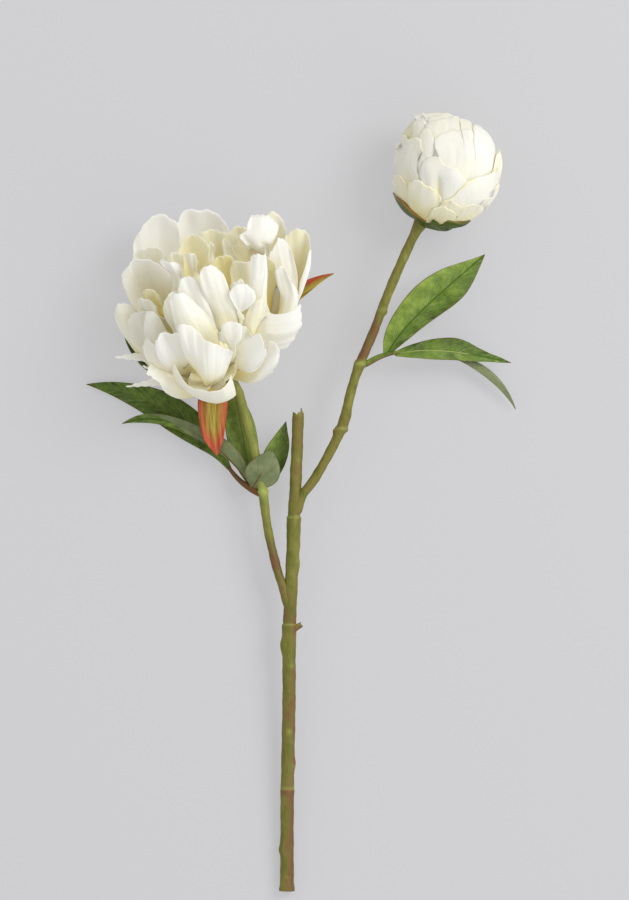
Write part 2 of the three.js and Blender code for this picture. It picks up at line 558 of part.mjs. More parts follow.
const budLeafBody = largest(
  union([tube(budStalk, 8, 8), ...budLeaflets.map((leaf) => sheet(leafGrid(leaf, 10, 4), LEAF))]).subtract(stemFat),
);
const bloomLeafBody = largest(
  union([tube(bloomStalk, 8, 8), ...bloomLeaflets.map((leaf) => sheet(leafGrid(leaf, 9, 4), LEAF))])
    .subtract(stemFat)
    .subtract(calyxOfBloom(GAP))
    .subtract(bloomCalyxWhole),
);

// Meshes

const group = new THREE.Group();
group.name = 'peony_spray';

function place(name, body, colour, roughness) {
  const made = body.getMesh();
  const geometry = new THREE.BufferGeometry();
  geometry.setAttribute('position', new THREE.BufferAttribute(new Float32Array(made.vertProperties), 3));
  geometry.setIndex(new THREE.BufferAttribute(new Uint32Array(made.triVerts), 1));
  const flat = geometry.toNonIndexed();
  flat.computeVertexNormals();
  const mesh = new THREE.Mesh(flat, new THREE.MeshStandardMaterial({ color: colour, roughness, metalness: 0 }));
  mesh.name = name;
  group.add(mesh);
}

place('stem', stemBody, '#7b743c', 0.6);
place('bloom_petals', bloomBody, '#eaebdf', 0.75);
place('bloom_calyx', bloomCalyxWhole, '#a0623a', 0.6);
place('bud_petals', budBody, '#e7e8de', 0.7);
place('bud_calyx', budCalyxWhole, '#4d5435', 0.6);
place('leaf_by_bud', budLeafBody, '#627c33', 0.55);
place('leaf_by_bloom', bloomLeafBody, '#536825', 0.55);

// The middle of the whole footprint becomes x = 0, y = 0.
const whole = new THREE.Box3().setFromObject(group);
group.position.set(-(whole.min.x + whole.max.x) / 2, -(whole.min.y + whole.max.y) / 2, 0);

export default group;
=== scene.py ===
# %% [markdown]
# # A cut peony spray, laid on a table
# One open double bloom and one bud on a forked stem, with two compound leaves. On the real spray the petals and
# leaves are thin dyed cloth and the stem is a wire core in soft plastic. The solids of the frame give every piece
# its place and size. Each cell below dresses one of them with a finer surface of the same form.

# %% Load the frame
import math

import bpy
import numpy as np
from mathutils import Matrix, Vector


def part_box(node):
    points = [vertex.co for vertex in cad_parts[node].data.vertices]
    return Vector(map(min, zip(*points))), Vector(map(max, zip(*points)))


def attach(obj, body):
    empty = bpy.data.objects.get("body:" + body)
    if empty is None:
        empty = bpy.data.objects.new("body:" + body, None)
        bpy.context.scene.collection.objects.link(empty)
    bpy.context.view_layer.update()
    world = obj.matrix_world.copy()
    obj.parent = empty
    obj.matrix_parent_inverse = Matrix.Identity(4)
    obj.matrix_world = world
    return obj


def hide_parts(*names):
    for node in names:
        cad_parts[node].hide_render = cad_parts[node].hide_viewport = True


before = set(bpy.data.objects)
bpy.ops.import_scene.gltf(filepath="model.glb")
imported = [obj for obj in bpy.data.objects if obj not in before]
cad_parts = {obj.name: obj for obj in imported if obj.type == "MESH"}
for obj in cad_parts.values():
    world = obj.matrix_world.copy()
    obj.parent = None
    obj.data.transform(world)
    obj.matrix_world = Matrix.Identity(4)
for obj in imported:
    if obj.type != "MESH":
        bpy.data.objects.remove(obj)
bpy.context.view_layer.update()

MM = 0.001
STEM_CORNER = np.array([-53.20, -0.24])  # the stem's low corner, in millimetres from the cut foot
corner = np.array(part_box("stem")[0])[:2] / MM
FOOT = np.array([*(corner - STEM_CORNER), 0.0])  # where the cut foot stands in the row frame

# %% [markdown]
# ## Camera
# The spray lies flat and the camera looks straight down on it. A near camera would swell the tall bloom and show
# its sides, so this one is far away with a long lens. The picture is 629 x 900 points, and one point is 0.72 mm on
# the table.

# %% Camera
POINT = 0.72  # millimetres to a picture point
WIDE, HIGH = 629, 900
FOOT_X, FOOT_Y = 288, 893  # where the cut foot is in the picture
CAMERA_HEIGHT = 5.0  # metres over the middle of the spray
SENSOR = 36.0
MIDDLE_HEIGHT = 30.0  # millimetres over the table
middle = (np.array([(WIDE / 2 - FOOT_X) * POINT, (FOOT_Y - HIGH / 2) * POINT, MIDDLE_HEIGHT]) + FOOT) * MM
camera = bpy.data.objects.new("camera", bpy.data.cameras.new("camera"))
bpy.context.scene.collection.objects.link(camera)
camera.location = (middle[0], middle[1], middle[2] + CAMERA_HEIGHT)
camera.data.sensor_width = SENSOR
camera.data.lens = SENSOR * CAMERA_HEIGHT / (HIGH * POINT * MM)
bpy.context.scene.camera = camera
print("camera lens", round(camera.data.lens), "mm, seen field", round(HIGH * POINT), "mm high")

# %% [markdown]
# ## Colours and nodes
# Colours are written as the hex values that a screen shows. Blender mixes light in linear numbers, so one
# function turns the first into the second. One more adds a node with its settings and its links.


# %% Colour and node helpers
def linear(code, alpha=1.0):
    """Screen hex to linear light: each channel c becomes ((c + 0.055) / 1.055) to the power 2.4, or c / 12.92
    in the darkest part."""
    c = np.array([int(code[i : i + 2], 16) for i in (1, 3, 5)]) / 255
    return (*np.where(c > 0.04045, ((c + 0.055) / 1.055) ** 2.4, c / 12.92), alpha)


def node(tree, kind, inputs=None, stops=(), **settings):
    """Adds a node. Each input is a node, which gives its first output, a socket or a value. stops are the places
    and the colours of a ramp, lowest and highest first."""
    made = tree.nodes.new("ShaderNode" + kind)
    for key, value in settings.items():
        setattr(made, key, value)
    for k, (place, code) in enumerate(stops):
        stop = made.color_ramp.elements[k] if k < 2 else made.color_ramp.elements.new(place)
        stop.position = place
        stop.color = linear(code)
    for key, value in (inputs or {}).items():
        if isinstance(value, bpy.types.Node):
            value = value.outputs[0]
        if isinstance(value, bpy.types.NodeSocket):
            tree.links.new(value, made.inputs[key])
        else:
            made.inputs[key].default_value = value
    return made


def finish_material(name, build):
    """A material with one Principled shader. build gets the tree and the shader and adds the rest."""
    made = bpy.data.materials.new(name)
    made.use_nodes = True
    build(made.node_tree, made.node_tree.nodes["Principled BSDF"])
    return made


# %% [markdown]
# ## Floor and light
# A pale grey card lies under the spray. White petals on a pale ground need soft light from all round, or they
# burn out on one side. So the light is a bright white room, with one large soft lamp at the right and weaker ones
# at the upper left and at the foot, and the petals shade each other but nothing throws a hard shadow.


# %% Floor and light
def card_finish(tree, shader):
    """Opal light table: a matt grey face that glows evenly, so the shadows on it stay faint."""
    shader.inputs["Base Color"].default_value = linear("#7d7d7f")
    shader.inputs["Roughness"].default_value = 0.9
    shader.inputs["Specular IOR Level"].default_value = 0.1
    shader.inputs["Emission Color"].default_value = linear("#d0d0d2")
    shader.inputs["Emission Strength"].default_value = 0.625


floor_mesh = bpy.data.meshes.new("floor")
FLOOR_HALF = 4.0  # metres
corners = [(x * FLOOR_HALF, y * FLOOR_HALF, 0) for x, y in ((-1, -1), (1, -1), (1, 1), (-1, 1))]
floor_mesh.from_pydata(corners, [], [(0, 1, 2, 3)])
floor = bpy.data.objects.new("floor", floor_mesh)
bpy.context.scene.collection.objects.link(floor)
floor_mesh.materials.append(finish_material("grey_card", card_finish))

world = bpy.data.worlds.new("room")
bpy.context.scene.world = world
world.use_nodes = True
world.node_tree.nodes["Background"].inputs[0].default_value = linear("#fafafa")
world.node_tree.nodes["Background"].inputs[1].default_value = 0.7


def lamp(name, place, power, size):
    """A square soft white lamp at place, in metres, that faces the middle of the spray."""
    data = bpy.data.lights.new(name, "AREA")
    data.energy = power
    data.size = size
    made = bpy.data.objects.new(name, data)
    bpy.context.scene.collection.objects.link(made)
    made.location = place
    toward = made.location.copy()
    toward.x -= float(middle[0])
    toward.y -= float(middle[1])
    made.rotation_euler = toward.to_track_quat("Z", "Y").to_euler()
    print(name, power, "W,", size, "m wide")


lamp("key_right", (1.5, 0.9, 1.8), 34.0, 1.2)
lamp("fill_left", (-1.4, 1.0, 1.6), 4.0, 1.4)
lamp("fill_foot", (1.4, -1.1, 1.6), 9.0, 1.4)
bpy.context.scene.view_settings.view_transform = "Standard"

# %% [markdown]
# ## Surfaces
# Petals, leaves and stems could be sculpted, but then no number says how large they are. Here every piece is a
# grid of points worked out at once for the whole piece. A thin sheet, such as a petal, is its middle grid moved
# half its thickness to either side, with a rim between. A stem is rings of points on a path.


# %% Surface helpers
PETAL_THICK, BUD_PETAL_THICK, LEAF_THICK, SEPAL_THICK = 0.35, 0.4, 0.6, 0.8  # millimetres


def unit(v):
    """Each vector divided by its own length."""
    return v / np.maximum(np.linalg.norm(v, axis=-1, keepdims=True), 1e-9)


def smooth(x):
    """3 x squared minus 2 x cubed, of x kept between 0 and 1."""
    x = np.clip(x, 0, 1)
    return x * x * (3 - 2 * x)


def shares(rows, cols):
    """u from 0 to 1 down the rows of a grid, and v from -1 to 1 across its columns."""
    return np.linspace(0, 1, rows)[:, None], np.linspace(-1, 1, cols)[None, :]


def stacked(made):
    """Many tuples of arrays turned into one tuple of stacks."""
    return [np.stack(part) for part in zip(*made)]


def bell(x, middle_at, spread):
    """e to the minus square of the distance from middle_at, counted in spreads."""
    return np.exp(-(((x - middle_at) / spread) ** 2))


def apart(degrees, origin):
    """The turn from origin to degrees, between -180 and 180."""
    return (degrees - origin + 180) % 360 - 180


def through(values, x):
    """A smooth line through equally spaced values, read at x from 0 to 1: on each stretch a cubic whose slopes
    are half the difference of the neighbours."""
    values = np.asarray(values, float)
    first = 2 * values[0] - values[1]
    last = 2 * values[-1] - values[-2]
    padded = np.concatenate([[first], values, [last]])
    place = np.clip(x, 0, 1) * (len(values) - 1)
    k = np.minimum(place.astype(int), len(values) - 2)
    t = (place - k).reshape(place.shape + (1,) * (values.ndim - 1))
    a, b, c, d = (padded[k + i] for i in range(4))
    return b + 0.5 * t * (c - a + t * (2 * a - 5 * b + 4 * c - d + t * (3 * (b - c) + d - a)))


def bezier(ends, u):
    """Points and directions of a cubic Bezier curve at shares u of its length. The curve is sampled, its length
    is summed, and the samples are read at equal lengths."""
    p = np.asarray(ends, float)
    t = np.linspace(0, 1, 201)[:, None]
    line = p[0] * (1 - t) ** 3 + 3 * p[1] * t * (1 - t) ** 2 + 3 * p[2] * t**2 * (1 - t) + p[3] * t**3
    way = 3 * (p[1] - p[0]) * (1 - t) ** 2 + 6 * (p[2] - p[1]) * t * (1 - t) + 3 * (p[3] - p[2]) * t**2
    length = np.concatenate([[0], np.cumsum(np.linalg.norm(np.diff(line, axis=0), axis=1))])
    read = lambda table: np.stack([np.interp(u * length[-1], length, table[:, k]) for k in range(3)], -1)
    return read(line), unit(read(unit(way))), length[-1]


# %% Meshes
def grid_faces(rows, cols, wrap=False):
    """Quads of a grid, wound so that the normal is along crossed with across. wrap joins the last column to the
    first."""
    at = np.arange(rows * cols).reshape(rows, cols)
    if wrap:
        at = np.concatenate([at, at[:, :1]], axis=1)
    return np.stack([at[:-1, :-1], at[1:, :-1], at[1:, 1:], at[:-1, 1:]], -1).reshape(-1, 4)


def tube_faces(rings, sides):
    """Faces of a closed tube: quads between its rings, and a fan at each end to one of the two points that follow
    the rings."""
    k = np.arange(sides)
    after = (k + 1) % sides
    first, top = rings * sides, (rings - 1) * sides
    low = np.stack([np.full(sides, first), after, k], -1)
    high = np.stack([np.full(sides, first + 1), k + top, after + top], -1)
    return [*grid_faces(rings, sides, wrap=True)[:, ::-1].tolist(), *low.tolist(), *high.tolist()]


def new_piece(name, points, faces, marks, uv, material, slot, flat=()):
    """Puts points in millimetres from the cut foot, and faces, into a mesh of its own at the origin. marks are
    numbers kept at each point, uv a pair for each point. slot names the solid that the piece takes the place of,
    whose colour slot has the same name. flat lists the faces that aren't shaded smooth."""
    points = np.asarray(points, float)
    points[:, 2] = np.maximum(points[:, 2], 0.0)
    mesh = bpy.data.meshes.new(name)
    mesh.from_pydata(((points + FOOT) * MM).tolist(), [], faces)
    shade = np.ones(len(mesh.polygons), bool)
    shade[np.asarray(flat, int)] = False
    mesh.polygons.foreach_set("use_smooth", shade)
    for key, values in marks.items():
        mesh.attributes.new(key, "FLOAT", "POINT").data.foreach_set("value", np.asarray(values, np.float32).ravel())
    index = np.zeros(len(mesh.loops), np.int32)
    mesh.loops.foreach_get("vertex_index", index)
    layer = mesh.uv_layers.new(name="surface")
    layer.data.foreach_set("uv", np.asarray(uv, np.float32)[index].ravel())
    mesh.materials.append(material)
    made = bpy.data.objects.new(name, mesh)
    bpy.context.scene.collection.objects.link(made)
    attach(made, "root")
    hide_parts(slot)
    mesh.calc_loop_triangles()
    print(name, len(mesh.vertices), "points", len(mesh.loop_triangles), "triangles")


def sheets(name, grids, thick, marks, uv, material, slot):
    """Many thin closed sheets as one piece. grids: sheet, row, column, xyz. The normal is the step along crossed
    with the step across. The back face is the front face in reverse, and the rim runs round the border once."""
    count, rows, cols, _ = grids.shape
    normal = unit(np.cross(np.gradient(grids, axis=1), np.gradient(grids, axis=2)))
    u, v = shares(rows, cols)
    half = (thick / 2 * (1 - 0.5 * np.abs(v) ** 12) * (1 - 0.5 * u**24))[None, ..., None]
    both = np.stack([grids + normal * half, grids - normal * half], 1)
    per = rows * cols
    at = np.arange(per).reshape(rows, cols)
    ring = np.concatenate([at[:-1, 0], at[-1, :-1], at[:0:-1, -1], at[0, :0:-1]])
    after = np.roll(ring, -1)
    rim = np.stack([after, ring, ring + per, after + per], -1)
    front = grid_faces(rows, cols)
    one = np.concatenate([front, front[:, ::-1] + per, rim])
    faces = (one[None] + (np.arange(count) * 2 * per)[:, None, None]).reshape(-1, 4).tolist()
    flat = (np.arange(count)[:, None] * len(one) + np.arange(2 * len(front), len(one))[None]).ravel()
    twice = {key: np.stack([values, values], 1) for key, values in marks.items()}
    twice["under"] = np.stack([np.zeros((count, rows, cols)), np.ones((count, rows, cols))], 1)
    new_piece(name, both.reshape(-1, 3), faces, twice, np.stack([uv, uv], 1).reshape(-1, 2), material, slot, flat)


# %% [markdown]
# ## The way a flower faces
# Each flower has a base and an axis. Its petals are worked out in its own coordinates, to the right, to the back
# and up along the axis, and then placed.


# %% Flower frame
def flower_frame(base, axis):
    """Base and the three unit vectors right, back and up of a flower that faces along axis."""
    up = unit(np.array(axis, float))
    right = unit(np.array([1.0, 0, 0]) - up * up[0])
    return np.array(base, float), np.stack([right, np.cross(up, right), up])


def placed(flower, points):
    """Base plus x times right, y times back and h times up."""
    return flower[0] + points @ flower[1]


BLOOM = flower_frame([-50, 383, 28.1], [-0.08, 0.67, 0.74])
BUD = flower_frame([114.2, 522.5, 37.4], [0.2, 0.96, 0.12])
BUD_RADIUS, BUD_HALF_HEIGHT = 31.8, 36.6
BUD_HALVES = np.array([BUD_RADIUS, BUD_RADIUS, BUD_HALF_HEIGHT])
print("the bloom leans", round(math.degrees(math.acos(BLOOM[1][2, 2]))), "degrees, the bud",
      round(math.degrees(math.acos(BUD[1][2, 2]))))

# %% [markdown]
# ## Petal cloth
# The real petals are thin woven polyester, dyed cream and pressed in a hot mould. That leaves fine pleats that
# fan out from the root, a soft matt face, a little light through the cloth, and yellow where the dye gathers at
# the root. A scan of such cloth would repeat from petal to petal, so noise draws it, and the pleats follow the
# petal's own UV, which is in millimetres. How yellow a point is comes from the mark tint, which holds the cloth's
# own cream and also painted shade: a deeper yellow painted where petals lie in shade, in the depth of the flower
# near the roots, in the gaps and dents between petals and along their edges.


# %% Petal cloth
def petal_cloth(white, cream, deep, glow):
    """Pressed polyester petal: colour runs from deep at the root over cream to white at the lip."""

    def build(tree, shader):
        """Noise drawn out along the UV gives the pleats, which also shift the colour as painted shade along them,
        and the mark tint, unevened by the pleats, picks the colour.
        """
        uv = node(tree, "UVMap", uv_map="surface")
        # pressed pleats, about 2 mm apart and 25 mm long
        stretch = node(tree, "Mapping", {0: uv, 3: (0.5, 0.04, 1)})
        pleats = node(tree, "TexNoise", {"Vector": stretch, "Scale": 1.0, "Detail": 3.0, "Roughness": 0.6})
        # cloth weave, 0.3 mm thread, drawn at 0.7 mm so that it shows
        weave_at = node(tree, "Mapping", {0: uv, 3: (1.4, 1.4, 1)})
        weave = node(tree, "TexNoise", {"Vector": weave_at, "Scale": 1.0, "Detail": 1.0})
        # uneven dye in blots of about 15 mm
        place = node(tree, "TexCoord").outputs["Object"]
        blots = node(tree, "TexNoise", {"Vector": place, "Scale": 55.0, "Detail": 2.0})
        cream_and_shade = node(tree, "Attribute", attribute_name="cream_and_shade").outputs["Fac"]
        share = node(tree, "Math", {0: blots, 1: 0.35, 2: cream_and_shade}, operation="MULTIPLY_ADD")
        # painted shade along the pleats: the pleat noise also moves the colour
        share = node(tree, "Math", {0: pleats, 1: 0.12, 2: share}, operation="MULTIPLY_ADD")
        share = node(tree, "Math", {0: share, 1: 0.235}, operation="SUBTRACT", use_clamp=True)
        colour = node(tree, "ValToRGB", {0: share}, [(0.0, white), (1.0, deep), (0.5, cream)])
        tree.links.new(colour.outputs[0], shader.inputs["Base Color"])
        height = node(tree, "Math", {0: weave, 1: 0.18, 2: pleats.outputs[0]}, operation="MULTIPLY_ADD")
        bump = node(tree, "Bump", {"Height": height, "Strength": 0.3, "Distance": 0.0006})
        tree.links.new(bump.outputs[0], shader.inputs["Normal"])
        shader.inputs["Roughness"].default_value = 0.72
        shader.inputs["Specular IOR Level"].default_value = 0.3
        shader.inputs["Sheen Weight"].default_value = 0.12
        shader.inputs["Subsurface Weight"].default_value = glow
        shader.inputs["Subsurface Radius"].default_value = (1.0, 1.0, 0.95)
        shader.inputs["Subsurface Scale"].default_value = 0.0016

    return build


BLOOM_CLOTH = finish_material("cream_polyester_petal", petal_cloth("#fbfaf0", "#f3eabd", "#e8d180", 0.7))
BUD_CLOTH = finish_material("cream_polyester_bud", petal_cloth("#fbfaf0", "#f3eabd", "#dfc977", 0.7))
print("petal finishes:", BLOOM_CLOTH.name, "and", BUD_CLOTH.name)

# %% [markdown]
# ## Petals of the open bloom
# A rule of rings and angles would give a neat rosette, but this bloom has fallen open and its petals are all
# different, so each one is drawn: its left edge, its lip and its right edge. A point is where it is seen from
# above, in points of the picture, and its height over the table in millimetres. Then come three bulges, from the
# root to the lip, above 0 where the outer face is seen and below where the petal is hollow. The root of every
# petal is at the base of the flower.

# %% Rows of the bloom
# left edge, lip, right edge, bulges and the rest, from the back of the flower to the front
# a row's tint is the petal's cream plus painted shade, larger where the petal lies in shade
BLOOM_PETALS = [
    ([(154.5, 294, 10), (135, 263, 22)],
     [(134.5, 251.5, 28), (136.5, 239.5, 32), (143.5, 229, 35), (152.5, 220.5, 37), (161.5, 218, 38), (170, 220, 38),
      (176.5, 225, 37), (179, 231.5, 34)], [(174.5, 294, 10), (179, 251.5, 22)], (-3, -6, -5), dict(cream_and_shade=0.03)),
    ([(174.5, 294, 10), (179, 251.5, 18)],
     [(178, 233, 29), (179, 223, 33), (184.5, 214.5, 36), (194.5, 213, 37), (206, 214, 37), (214.5, 217, 37),
      (222.5, 222, 36), (231, 232, 34)], [(208, 294, 10), (228, 251.5, 22)], (-3, -6, -5), dict(cream_and_shade=0)),
    ([(213.5, 294, 12), (228, 251.5, 22)],
     [(228.5, 234.5, 31), (233.5, 229, 34), (239, 227, 35), (247, 228.5, 35), (252.5, 234, 34)],
     [(241.5, 294, 12), (254.5, 255, 24)], (-3, -4, -3), dict(cream_and_shade=0.55)),
    ([(241.5, 294, 16), (261.5, 251.5, 30)],
     [(263, 219.5, 42), (268, 214, 46.5), (273.5, 215, 47.5), (279.5, 220.5, 46.5), (283, 229.5, 44.5),
      (284, 237, 42)], [(258, 299.5, 16), (281.5, 255, 30)], (-3, -4, -3), dict(cream_and_shade=0.55)),
    ([(258, 316, 24), (281.5, 274, 34)],
     [(284, 238.5, 46.5), (288, 233.5, 50.5), (296, 231.5, 52.5), (303, 233.5, 52.5), (308.5, 240.5, 52.5),
      (311.5, 251.5, 51.5)], [(281.5, 316, 26), (298.5, 300, 36), (305, 284, 44.5), (310, 267, 49.5)], (-6, -9, -7),
     dict(cream_and_shade=0.65)),
    ([(281.5, 316, 28), (296.5, 301, 40), (300, 283, 48.5), (305.5, 267, 53.5)],
     [(308, 255, 56), (309.5, 251, 56.5), (311.5, 251.5, 55)],
     [(286, 316, 26), (298.5, 301, 37), (305.5, 284.5, 45.5), (310.5, 268, 50.5)], (0.3, 0.5, 0.3),
     dict(cream_and_shade=0, flare=0.3, ruffle=0.15)),
    ([(154.5, 299.5, 20), (134.5, 276, 30)],
     [(133, 267, 42), (135, 258.5, 46.5), (141.5, 254, 50.5), (151.5, 251.5, 52.5), (160, 253, 52.5),
      (166.5, 258.5, 50.5)], [(174.5, 294, 20), (167, 274, 34)], (-3, -4, -3), dict(cream_and_shade=0.25)),
    ([(163.5, 333, 30), (136, 310.5, 40), (125, 291.5, 50.5)],
     [(122, 279.5, 59), (124.5, 276, 61.5), (130, 270.5, 64.5), (133.5, 266, 66.5), (144.5, 265.5, 70),
      (156, 266.5, 72), (166, 271.5, 72), (174.5, 278.5, 70), (181, 281.5, 68)], [(186, 316, 30), (180, 296, 50.5)],
     (-5, -9, -7), dict(cream_and_shade=0.18)),
    ([(170, 383, 22), (140, 357, 32), (127, 340.5, 38), (118.5, 327, 44.5)],
     [(115, 316, 48.5), (116, 308.5, 52.5), (120, 304, 55), (127, 303, 55), (134.5, 307, 51.5),
      (141.5, 314.5, 48.5)], [(192.5, 349.5, 26), (166, 333, 36)], (2, 3, 1), dict(cream_and_shade=0.32)),
    ([(170, 378.5, 28), (144.5, 354.5, 36), (132, 337, 46.5)],
     [(129, 321.5, 55), (132, 315, 59), (137, 312, 61.5), (144.5, 312, 62.5), (152.5, 313.5, 61.5),
      (158.5, 319, 59)], [(192.5, 349.5, 34), (172.5, 336, 46.5)], (2, 3, 1), dict(cream_and_shade=0.12)),
    ([(203.5, 305, 24), (206, 267, 38)],
     [(199, 236.5, 48.5), (206, 233, 50.5), (214.5, 232, 51.5), (224.5, 233.5, 51.5), (232.5, 236.5, 50.5),
      (238, 243, 49.5)], [(241.5, 305, 24), (241.5, 267, 38)], (-4, -6, -5), dict(cream_and_shade=0.55, ruffle=0.8)),
    ([(211.5, 305, 40), (207, 265, 50.5)],
     [(207, 249.5, 59), (208.5, 244, 62.5), (212, 242, 63.5), (216, 248, 62.5)],
     [(221.5, 305, 40), (215.5, 265, 50.5)], (1, 2, 1), dict(cream_and_shade=0.3, ruffle=0.8)),
    ([(233.5, 305, 32), (238, 265, 44.5)],
     [(229.5, 250.5, 52.5), (234.5, 248, 55), (243.5, 248.5, 56), (253.5, 249, 56), (260, 250.5, 55)],
     [(256, 305, 32), (258, 267, 44.5)], (-2, -3, -2), dict(cream_and_shade=0.6, ruffle=0.8)),
    ([(251.5, 271.5, 34), (249, 251.5, 57), (247.5, 248, 68), (240, 239.5, 72), (248, 233.5, 74.5),
      (248, 227, 74.5)],
     [(251, 219.5, 73.5), (254.5, 216, 72), (262.5, 217.5, 72), (268, 218, 71), (274.5, 221.5, 69),
      (280, 226, 66.5)], [(266, 271.5, 34), (270, 251.5, 55), (272, 248, 65.5), (274.5, 243, 68), (278.5, 234, 68)],
     (0.3, 0.5, 0.5), dict(cream_and_shade=0.08, fold=(0.05, 1.6), flare=0.2, ruffle=0.3)),
    ([(226, 283, 44.5), (224, 255, 50.5)], [(223, 246, 57), (224, 241, 59), (229, 243, 59), (233, 249.5, 57)],
     [(237, 283, 44.5), (236, 260.5, 50.5)], (-1, -1, -1), dict(cream_and_shade=0.25)),
    ([(188, 305, 44.5), (179, 269.5, 55)],
     [(179.5, 254, 63.5), (184.5, 244, 68), (192.5, 238.5, 70), (200, 238.5, 70), (207, 244, 69), (209, 253, 66.5)],
     [(208, 305, 44.5), (207.5, 269.5, 55)], (-4, -7, -6), dict(cream_and_shade=0.6, ruffle=0.8)),
    ([(177, 305, 48.5), (171.5, 274, 65.5)],
     [(169, 261, 76.5), (172.5, 256.5, 80), (179, 255.5, 81), (184.5, 258.5, 79)],
     [(192.5, 305, 48.5), (186, 274, 61.5)], (-1, -2, -1), dict(cream_and_shade=0.5, ruffle=0.8)),
    ([(192.5, 305, 52.5), (191.5, 278.5, 63.5), (189.5, 268.5, 71)],
     [(186.5, 256.5, 76.5), (190, 254, 79), (196, 256, 80), (199.5, 262, 79)],
     [(206, 305, 52.5), (202, 278.5, 63.5), (198.5, 271.5, 71)], (2, 3, 2), dict(cream_and_shade=0.35, ruffle=1)),
    ([(177, 305, 55), (174.5, 281.5, 72), (168, 273, 83.5)],
     [(162, 266, 88), (162.5, 261.5, 90.5), (170, 263, 91.5), (177, 264, 90.5), (182, 268.5, 89)],
     [(190, 305, 55), (184.5, 284, 70), (184, 275, 83.5)], (1, 2, 1), dict(cream_and_shade=0.02, ruffle=0.6, flare=0.5)),
    ([(219, 310.5, 50.5), (214.5, 277, 59)],
     [(212.5, 267, 65.5), (216, 262, 69), (222.5, 259.5, 71), (229.5, 259.5, 71), (234.5, 264, 69)],
     [(239, 305, 50.5), (236, 277, 59)], (-3, -4, -3), dict(cream_and_shade=0.95)),
    ([(233.5, 310.5, 50.5), (231.5, 283, 61.5)],
     [(231, 273, 68), (233.5, 266, 72), (240, 263.5, 74.5), (251.5, 263.5, 74.5)],
     [(252.5, 310.5, 50.5), (252.5, 283, 61.5)], (-2, -3, -2), dict(cream_and_shade=0.45)),
    ([(261.5, 327, 40), (261.5, 283, 57)], [(263, 257, 72), (267, 260.5, 72), (271.5, 267, 71), (276, 276, 69)],
     [(272.5, 327, 40), (283, 301.5, 52.5), (280, 287, 61.5)], (-5, -8, -6), dict(cream_and_shade=0.65)),
    ([(263.5, 327, 34), (274.5, 283, 48.5), (270.5, 265, 57)],
     [(269, 255, 63.5), (272.5, 248.5, 66.5), (276, 243, 69), (278, 237, 70), (283.5, 240.5, 69), (289, 247, 66.5),
      (293.5, 256, 63.5)], [(286, 327, 34), (296, 297, 46.5), (298, 276, 56)], (2, 3, 2), dict(cream_and_shade=0)),
    ([(266, 333, 42), (281.5, 305, 57), (277, 285, 70)],
     [(275, 274.5, 74.5), (278, 269.5, 78), (282.5, 268, 79), (287.5, 271, 78), (291, 277, 75.5),
      (293.5, 283, 73.5)], [(286, 333, 42), (297, 308.5, 55), (298, 294, 63.5)], (1, 2, 1),
     dict(cream_and_shade=0.1, ruffle=0.8)),
    ([(244.5, 333, 57), (248.5, 299.5, 76.5), (251, 276, 88)],
     [(252, 261.5, 95), (254, 257.5, 96), (259, 256.5, 97), (264, 257, 96), (265.5, 249.5, 97.5), (266.5, 257, 95)],
     [(272.5, 333, 52.5), (267, 305, 74.5), (268, 277, 86)], (1, 2, 1), dict(cream_and_shade=0.02, fold=(0.4, 1.5), flare=0.5)),
    ([(247, 338.5, 57), (263.5, 314, 74.5), (277, 315, 79), (290, 313, 81)],
     [(300, 305, 81), (302, 311.5, 79), (301.5, 320.5, 75.5), (298.5, 329.5, 70), (293, 340, 61.5),
      (285, 348.5, 52.5)], [(236, 366, 36), (259, 349.5, 44.5), (274.5, 348, 47.5)], (6, 9, 6),
     dict(cream_and_shade=0.06, flare=0.3, pleat=2.6)),
    ([(236, 371.5, 45.5), (245, 340.5, 63.5), (243, 330.5, 72), (246, 318.5, 79)],
     [(250, 308.5, 83.5), (256, 301.5, 87), (262, 298, 88), (264.5, 303, 86), (268.5, 310.5, 83.5)],
     [(263.5, 371.5, 40), (261.5, 338.5, 59), (266.5, 323, 74.5)], (1, 2, 1), dict(cream_and_shade=0.38, fold=(-0.3, 1))),
    ([(214.5, 363, 50.5), (216, 346, 68)],
     [(217.5, 335, 74.5), (224.5, 327, 80), (236, 323, 81), (246, 327, 79), (252.5, 336, 74.5)],
     [(256, 366, 46.5), (257, 347, 61.5)], (2, 3, 2), dict(cream_and_shade=-0.25)),
    ([(208, 378.5, 40), (211.5, 387, 55)], [(215, 390, 61.5), (223.5, 385, 65.5), (231, 376.5, 69), (236, 365, 68)],
     [(228, 358.5, 44.5), (233.5, 359.5, 57)], (1, 2, 1), dict(cream_and_shade=0.45)),
    ([(166, 321.5, 46.5), (149, 303, 59)],
     [(144, 294, 68), (147, 290.5, 72), (152.5, 289.5, 73.5), (158, 291, 73.5), (161, 298, 72)],
     [(174.5, 316, 46.5), (163.5, 307, 61.5)], (1, 1, 1), dict(cream_and_shade=0.8, ruffle=0.9)),
    ([(163.5, 327, 44.5), (144.5, 313, 55)],
     [(139.5, 301, 65.5), (142.5, 298, 69), (149, 300.5, 71), (154.5, 303.5, 72), (158.5, 306, 72)],
     [(174.5, 321.5, 46.5), (161.5, 316, 61.5)], (1, 2, 1), dict(cream_and_shade=0.2, ruffle=0.9)),
    ([(154.5, 371.5, 44.5), (146.5, 340, 63.5), (145, 328.5, 72)],
     [(147, 318.5, 76.5), (149.5, 312, 81), (156, 312, 82.5), (160, 320, 81)],
     [(192.5, 360.5, 46.5), (172.5, 341.5, 61.5), (164, 327, 74.5)], (1, 2, 1), dict(cream_and_shade=0.05, fold=(-0.3, 1.5))),
    ([(179, 366, 46.5), (174.5, 334, 63.5), (167, 320.5, 76.5)],
     [(164, 309.5, 83.5), (167, 299.5, 88), (172, 294, 90.5), (179, 293, 90.5)],
